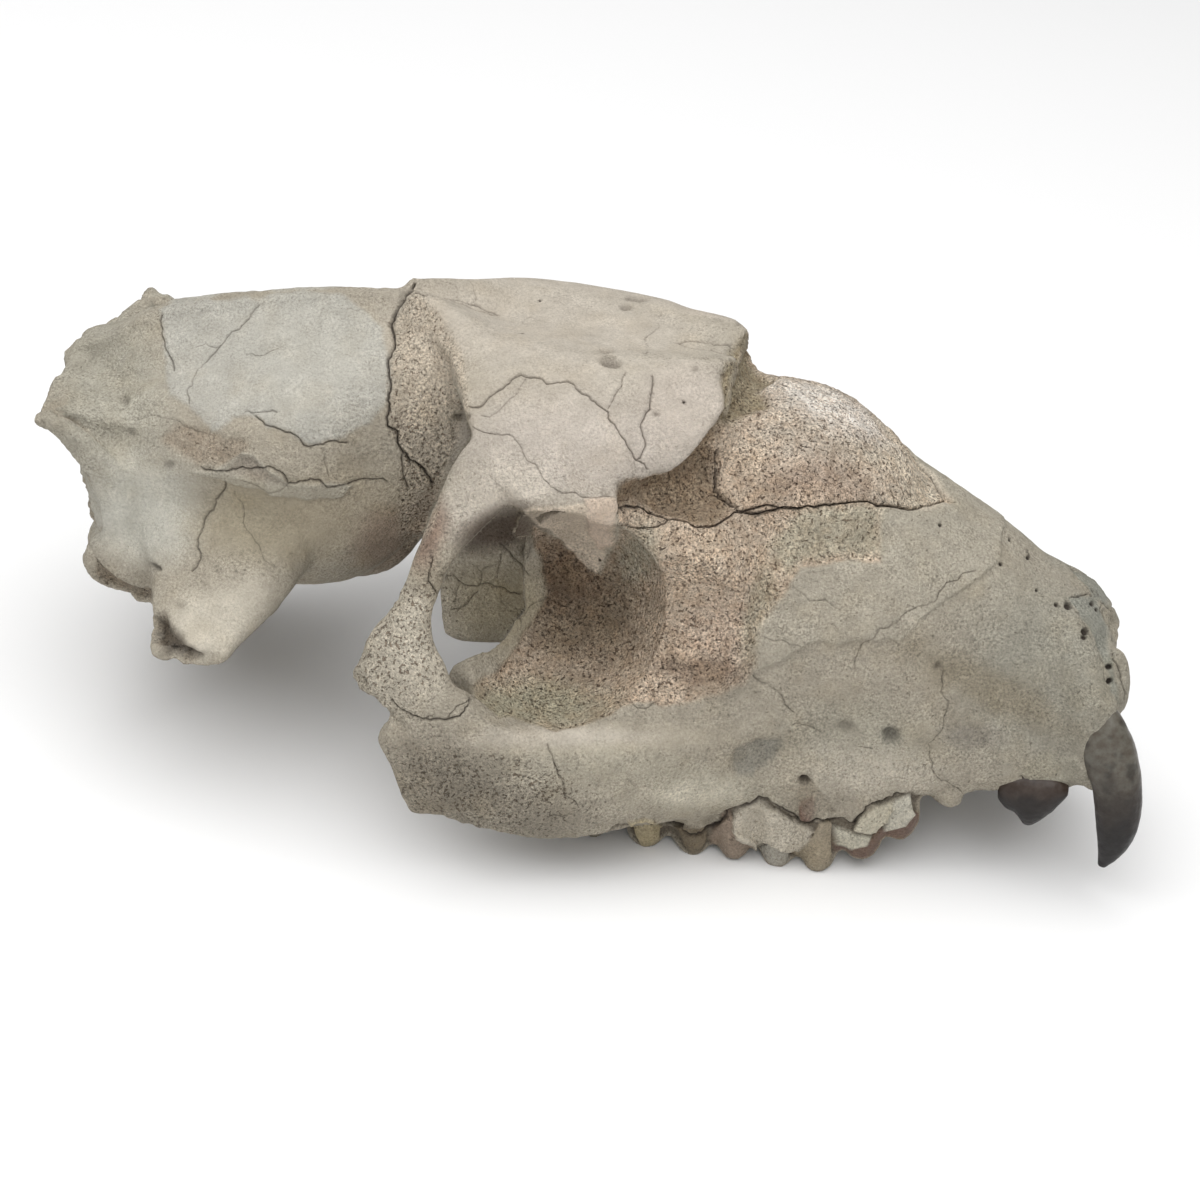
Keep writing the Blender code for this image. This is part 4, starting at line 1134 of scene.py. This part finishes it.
def mend(item):
    """Give the vertices made by the cuts what their neighbours carry."""
    mesh = item.data
    count = len(mesh.vertices)
    ends = np.empty(len(mesh.edges) * 2, dtype=np.int64)
    mesh.edges.foreach_get("vertices", ends)
    a, b = ends.reshape(-1, 2).T
    known = np.empty(count)
    mesh.attributes["known"].data.foreach_get("value", known)
    for _ in range(3):
        have = known > 0.5
        total = np.zeros(count)
        for p, q in ((a, b), (b, a)):
            total += np.bincount(p, have[q].astype(float), count)
        fill = ~have & (total > 0)
        for name, width, key in CARRIED:
            values = np.empty(count * width)
            mesh.attributes[name].data.foreach_get(key, values)
            values = values.reshape(count, width)
            for k in range(width):
                near = np.zeros(count)
                for p, q in ((a, b), (b, a)):
                    near += np.bincount(p, np.where(have[q], values[q, k], 0), count)
                values[fill, k] = near[fill] / total[fill]
            mesh.attributes[name].data.foreach_set(key, values.ravel())
        known[fill] = 1
    mesh.attributes.remove(mesh.attributes["known"])


def part(skull, finish):
    """Part the skull into the same bones and lumps of stone as the solid model."""
    far = 200                            # millimetres, past every side of the skull
    rear = split(skull, box((-far, -far, -far), (-32.5, far, far)), "rear")
    pieces = {
        "occiput": split(rear, box((-far, -far, -far), (-75, far, far)), "occiput"),
        "left_cheek_arch": split(rear, box((-75, -far, -far), (-32, -33, 62)), "arch"),
        "right_arch_root": split(rear, box((-75, 33, -far), (-32, far, 62)), "root"),
        "braincase": rear,
        "frontals": split(skull, forehead(1.0), "frontals"),
        "snout_stone": split(skull, snout_stone(1.0), "stone"),
        "right_orbital_bar": split(skull, box((-far, 28, 57.5), (-2, far, far)), "bar"),
        "left_orbital_bar": split(skull, box((-far, -far, 57.5), (-2, -28, far)), "bar"),
        "right_cheekbone": split(skull, box((-far, 36.5, -far), (22, far, 57.5)), "cheek"),
        "left_cheekbone": split(skull, box((-far, -far, -far), (22, -36.5, 57.5)), "cheek"),
        "sphenoid": split(skull, box((-far, -far, -far), (-16, far, far)), "sphenoid"),
        "socket_stone": split(skull, box((-16, -far, 24.6), (14, far, far)), "socket"),
        "right_upper_jaw": split(skull, box((-far, 0, -far), (far, far, far)), "jaw"),
        "left_upper_jaw": skull}
    for name, piece in pieces.items():
        mend(piece)
        piece.data.materials.clear()
        piece.data.materials.append(finish)
        piece.name = name + "_fine"
        finish_piece(piece, name)


def finish_piece(piece, node):
    """Shade a piece and set it in the place of its node."""
    only(piece)
    bpy.ops.object.shade_smooth_by_angle(angle=math.radians(55))
    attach(piece, "root")
    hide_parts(node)


# ---- materials -------------------------------------------------------------------------------

class Nodes:
    """A short way to lay out a material's nodes."""

    def __init__(self, name):
        self.material = bpy.data.materials.new(name)
        self.material.use_nodes = True
        self.tree = self.material.node_tree
        self.shader = self.tree.nodes["Principled BSDF"]
        self.place = self.add("ShaderNodeTexCoord").outputs["Object"]

    def add(self, kind, **settings):
        node = self.tree.nodes.new(kind)
        for key, value in settings.items():
            setattr(node, key, value)
        return node

    def set(self, socket, value):
        if isinstance(value, bpy.types.NodeSocket):
            self.tree.links.new(value, socket)
        else:
            socket.default_value = value

    def noise(self, scale, detail=3.0, roughness=0.55):
        node = self.add("ShaderNodeTexNoise")
        self.set(node.inputs["Vector"], self.place)
        self.set(node.inputs["Scale"], scale)
        self.set(node.inputs["Detail"], detail)
        self.set(node.inputs["Roughness"], roughness)
        return node.outputs["Fac"]

    def attribute(self, name, output="Fac"):
        return self.add("ShaderNodeAttribute", attribute_name=name).outputs[output]

    def ramp(self, value, low, high, to_low=0.0, to_high=1.0):
        node = self.add("ShaderNodeMapRange")
        self.set(node.inputs["Value"], value)
        for key, number in (("From Min", low), ("From Max", high), ("To Min", to_low),
                            ("To Max", to_high)):
            self.set(node.inputs[key], number)
        return node.outputs["Result"]

    def math(self, operation, a, b):
        node = self.add("ShaderNodeMath", operation=operation)
        self.set(node.inputs[0], a)
        self.set(node.inputs[1], b)
        return node.outputs[0]

    def mix(self, share, a, b, blend="MIX"):
        node = self.add("ShaderNodeMix", data_type="RGBA", blend_type=blend)
        self.set(node.inputs["Factor"], share)
        self.set(node.inputs[6], a)
        self.set(node.inputs[7], b)
        return node.outputs[2]

    def times(self, a, b):
        return self.math("MULTIPLY", a, b)

    def tint(self, colour, by):
        return self.mix(1.0, colour, by, "MULTIPLY")

    def bump(self, height, strength, distance):
        node = self.add("ShaderNodeBump")
        self.set(node.inputs["Height"], height)
        self.set(node.inputs["Strength"], strength)
        self.set(node.inputs["Distance"], distance)
        return node.outputs["Normal"]


def fossil(name):
    """Bone that turns to grained stone where the rock attribute says so."""
    n = Nodes(name)
    rock = n.attribute("rock")
    rough = n.attribute("rough")
    crack = n.attribute("crack")
    gloss = n.attribute("gloss")
    colour = n.attribute("paint", "Color")

    # broad clouds, paler and darker
    clouds = n.ramp(n.noise(220, 5, 0.62), 0.35, 0.7)
    colour = n.tint(colour, n.mix(clouds, (1.1, 1.09, 1.08, 1), (0.92, 0.905, 0.885, 1)))

    # specks, stronger in rough bone and in stone, and stronger in some places than in others
    grains = n.noise(2100, 3, 0.75)
    strength = n.math("ADD", n.ramp(rough, 0, 1, 0.08, 0.54), n.times(rock, 0.36))
    strength = n.times(strength, n.ramp(n.noise(160, 2, 0.5), 0.35, 0.65, 0.6, 1.4))
    speck = n.math("ADD", 1.0, n.times(strength, n.ramp(grains, 0.3, 0.7, -0.95, 1.25)))
    grey = n.add("ShaderNodeCombineColor")
    for key in ("Red", "Green", "Blue"):
        n.set(grey.inputs[key], speck)
    colour = n.tint(colour, grey.outputs[0])

    # small dark pores
    open_bone = n.math("MAXIMUM", n.ramp(rough, 0.65, 1.0), n.times(rock, 0.5))
    holes = n.math("SUBTRACT", n.noise(1600, 2, 0.6), n.times(open_bone, 0.08))
    share = n.ramp(n.math("ADD", rough, rock), 0.1, 1.0, 0.1, 0.8)
    pores = n.times(n.ramp(holes, 0.35, 0.29), share)
    colour = n.mix(pores, colour, n.tint(colour, (0.36, 0.3, 0.26, 1)))

    # pale and brown grains in the stone, and the dark of the cracks
    sorts = n.ramp(n.noise(480, 3, 0.6), 0.42, 0.62)
    grained = n.tint(colour, n.mix(sorts, (1.14, 1.14, 1.13, 1), (1.0, 0.95, 0.9, 1)))
    colour = n.mix(rock, colour, grained)
    colour = n.mix(n.times(crack, 0.94), colour, (0.035, 0.026, 0.021, 1))

    n.set(n.shader.inputs["Base Color"], colour)
    n.set(n.shader.inputs["Roughness"], n.ramp(gloss, 0, 1, 0.85, 0.3))
    n.set(n.shader.inputs["Specular IOR Level"], 0.22)
    fine = n.math("SUBTRACT", n.math("ADD", grains, n.noise(700, 4, 0.6)), pores)
    bold = n.math("ADD", n.ramp(rough, 0, 1, 0.45, 1.0), n.times(rock, 0.4))
    n.set(n.shader.inputs["Normal"], n.bump(fine, bold, 0.0009))
    return n.material


def enamel(name):
    """Half gloss enamel with darker streaks."""
    n = Nodes(name)
    paint = n.attribute("paint", "Color")
    streaks = n.ramp(n.noise(700, 4, 0.6), 0.35, 0.7)
    n.set(n.shader.inputs["Base Color"], n.mix(streaks, paint, n.tint(paint, (0.6, 0.5, 0.45, 1))))
    n.set(n.shader.inputs["Roughness"], n.ramp(n.noise(900, 3, 0.6), 0.3, 0.7, 0.28, 0.5))
    n.set(n.shader.inputs["Specular IOR Level"], 0.35)
    n.set(n.shader.inputs["Normal"], n.bump(n.noise(1100, 4, 0.6), 0.25, 0.0003))
    return n.material


# ---- separate teeth --------------------------------------------------------------------------

# Tones at the tip, the middle and the root
CANINE_TONES = (tone(24, 20, 19), tone(52, 46, 40), tone(96, 93, 84))
PREMOLAR_TONES = (tone(26, 21, 19), tone(36, 30, 27), tone(62, 52, 45))


def tooth(node, item, finish, tones):
    """A canine or first premolar: dark and glossy at its tip, mottled and paler at its root."""
    apply(item, "REMESH", mode="VOXEL", voxel_size=TOOTH_GRAIN)
    apply(item, "SMOOTH", factor=0.5, iterations=6)
    points = to_skull(places(item))
    facing = turn_to_skull(normals(item))
    ridges = 0.07 * fractal(points * np.array((1.0, 1.0, 0.15)), 0.9, 2, 41)
    dents = 0.12 * fractal(points, 3.0, 3, 42)
    put_inside(item, to_row(points + facing * (ridges + dents - 0.02)[:, None]))
    low, high = points[:, 2].min(), min(points[:, 2].max(), 24.0)
    up = (points[:, 2] - low) / (high - low) + 0.14 * fractal(points, 3.0, 3, 43)
    dark, middle, pale = tones
    colour = dark + smooth(0.3, 0.55, up)[:, None] * (middle - dark)
    colour = colour + smooth(0.55, 0.85, up)[:, None] * (pale - colour)
    blotch = smooth(0.1, 0.5, fractal(points, 2.2, 3, 44)) * smooth(0.45, 0.7, up)
    lay_paint(item, colour * (1 - 0.45 * blotch)[:, None])
    item.data.materials.append(finish)
    item.name = node + "_fine"
    finish_piece(item, node)


# ---- stage -----------------------------------------------------------------------------------

def floor():
    """A pale floor, 6 m across."""
    reach = 3.0
    mesh = bpy.data.meshes.new("floor")
    mesh.from_pydata([(-reach, -reach, 0), (reach, -reach, 0), (reach, reach, 0),
                      (-reach, reach, 0)], [], [(0, 1, 2, 3)])
    item = bpy.data.objects.new("floor", mesh)
    bpy.context.scene.collection.objects.link(item)
    n = Nodes("pale_floor")
    n.set(n.shader.inputs["Base Color"], (0.83, 0.83, 0.83, 1))
    n.set(n.shader.inputs["Roughness"], 0.8)
    mesh.materials.append(n.material)


def lamp(name, place, size, power):
    """A square lamp that looks at the middle of the skull."""
    middle = Vector((0, 0, 0.04))
    data = bpy.data.lights.new(name, "AREA")
    data.size = size
    data.energy = power
    item = bpy.data.objects.new(name, data)
    bpy.context.scene.collection.objects.link(item)
    item.location = place
    item.rotation_mode = "QUATERNION"
    item.rotation_quaternion = (middle - Vector(place)).to_track_quat("-Z", "Y")


def lights():
    """A large soft lamp overhead, a weak one in front, and a pale room."""
    lamp("key", (-0.1, -0.2, 1.2), 1.9, 27.5)
    lamp("fill", (0.3, -1.3, 0.7), 1.4, 4.4)
    world = bpy.data.worlds.new("room")
    bpy.context.scene.world = world
    world.use_nodes = True
    background = world.node_tree.nodes["Background"]
    background.inputs["Color"].default_value = (1, 1, 1, 1)
    background.inputs["Strength"].default_value = 0.28
    bpy.context.scene.view_settings.view_transform = "Standard"


def show_camera():
    """The camera of the show side."""
    data = bpy.data.cameras.new("camera")
    data.sensor_width = SENSOR
    data.lens = SENSOR * FOCUS / DRAWING
    data.clip_start = 0.01
    camera = bpy.data.objects.new("camera", data)
    bpy.context.scene.collection.objects.link(camera)
    start = to_row(np.zeros((1, 3)))
    axes = np.stack([(to_row(row[None]) - start)[0] for row in ROWS], axis=1)
    axes /= np.linalg.norm(axes, axis=0)
    place = Vector(to_row(EYE[None])[0])
    camera.matrix_world = Matrix.Translation(place) @ Matrix(axes.tolist()).to_4x4()
    bpy.context.scene.camera = camera


# ---- making ----------------------------------------------------------------------------------

def main():
    skull = fused()
    for reach in (2.5, 1.0):
        refine(skull, reach)
    carve(skull)
    part(skull, fossil("fossil"))
    glaze = enamel("enamel")
    tooth("right_canine", strap(CANINE), glaze, CANINE_TONES)
    tooth("left_canine", strap(SNAPPED_CANINE, -1), glaze, CANINE_TONES)
    tooth("right_first_premolar", premolar(1), glaze, PREMOLAR_TONES)
    tooth("left_first_premolar", premolar(-1), glaze, PREMOLAR_TONES)
    floor()
    lights()
    show_camera()


main()
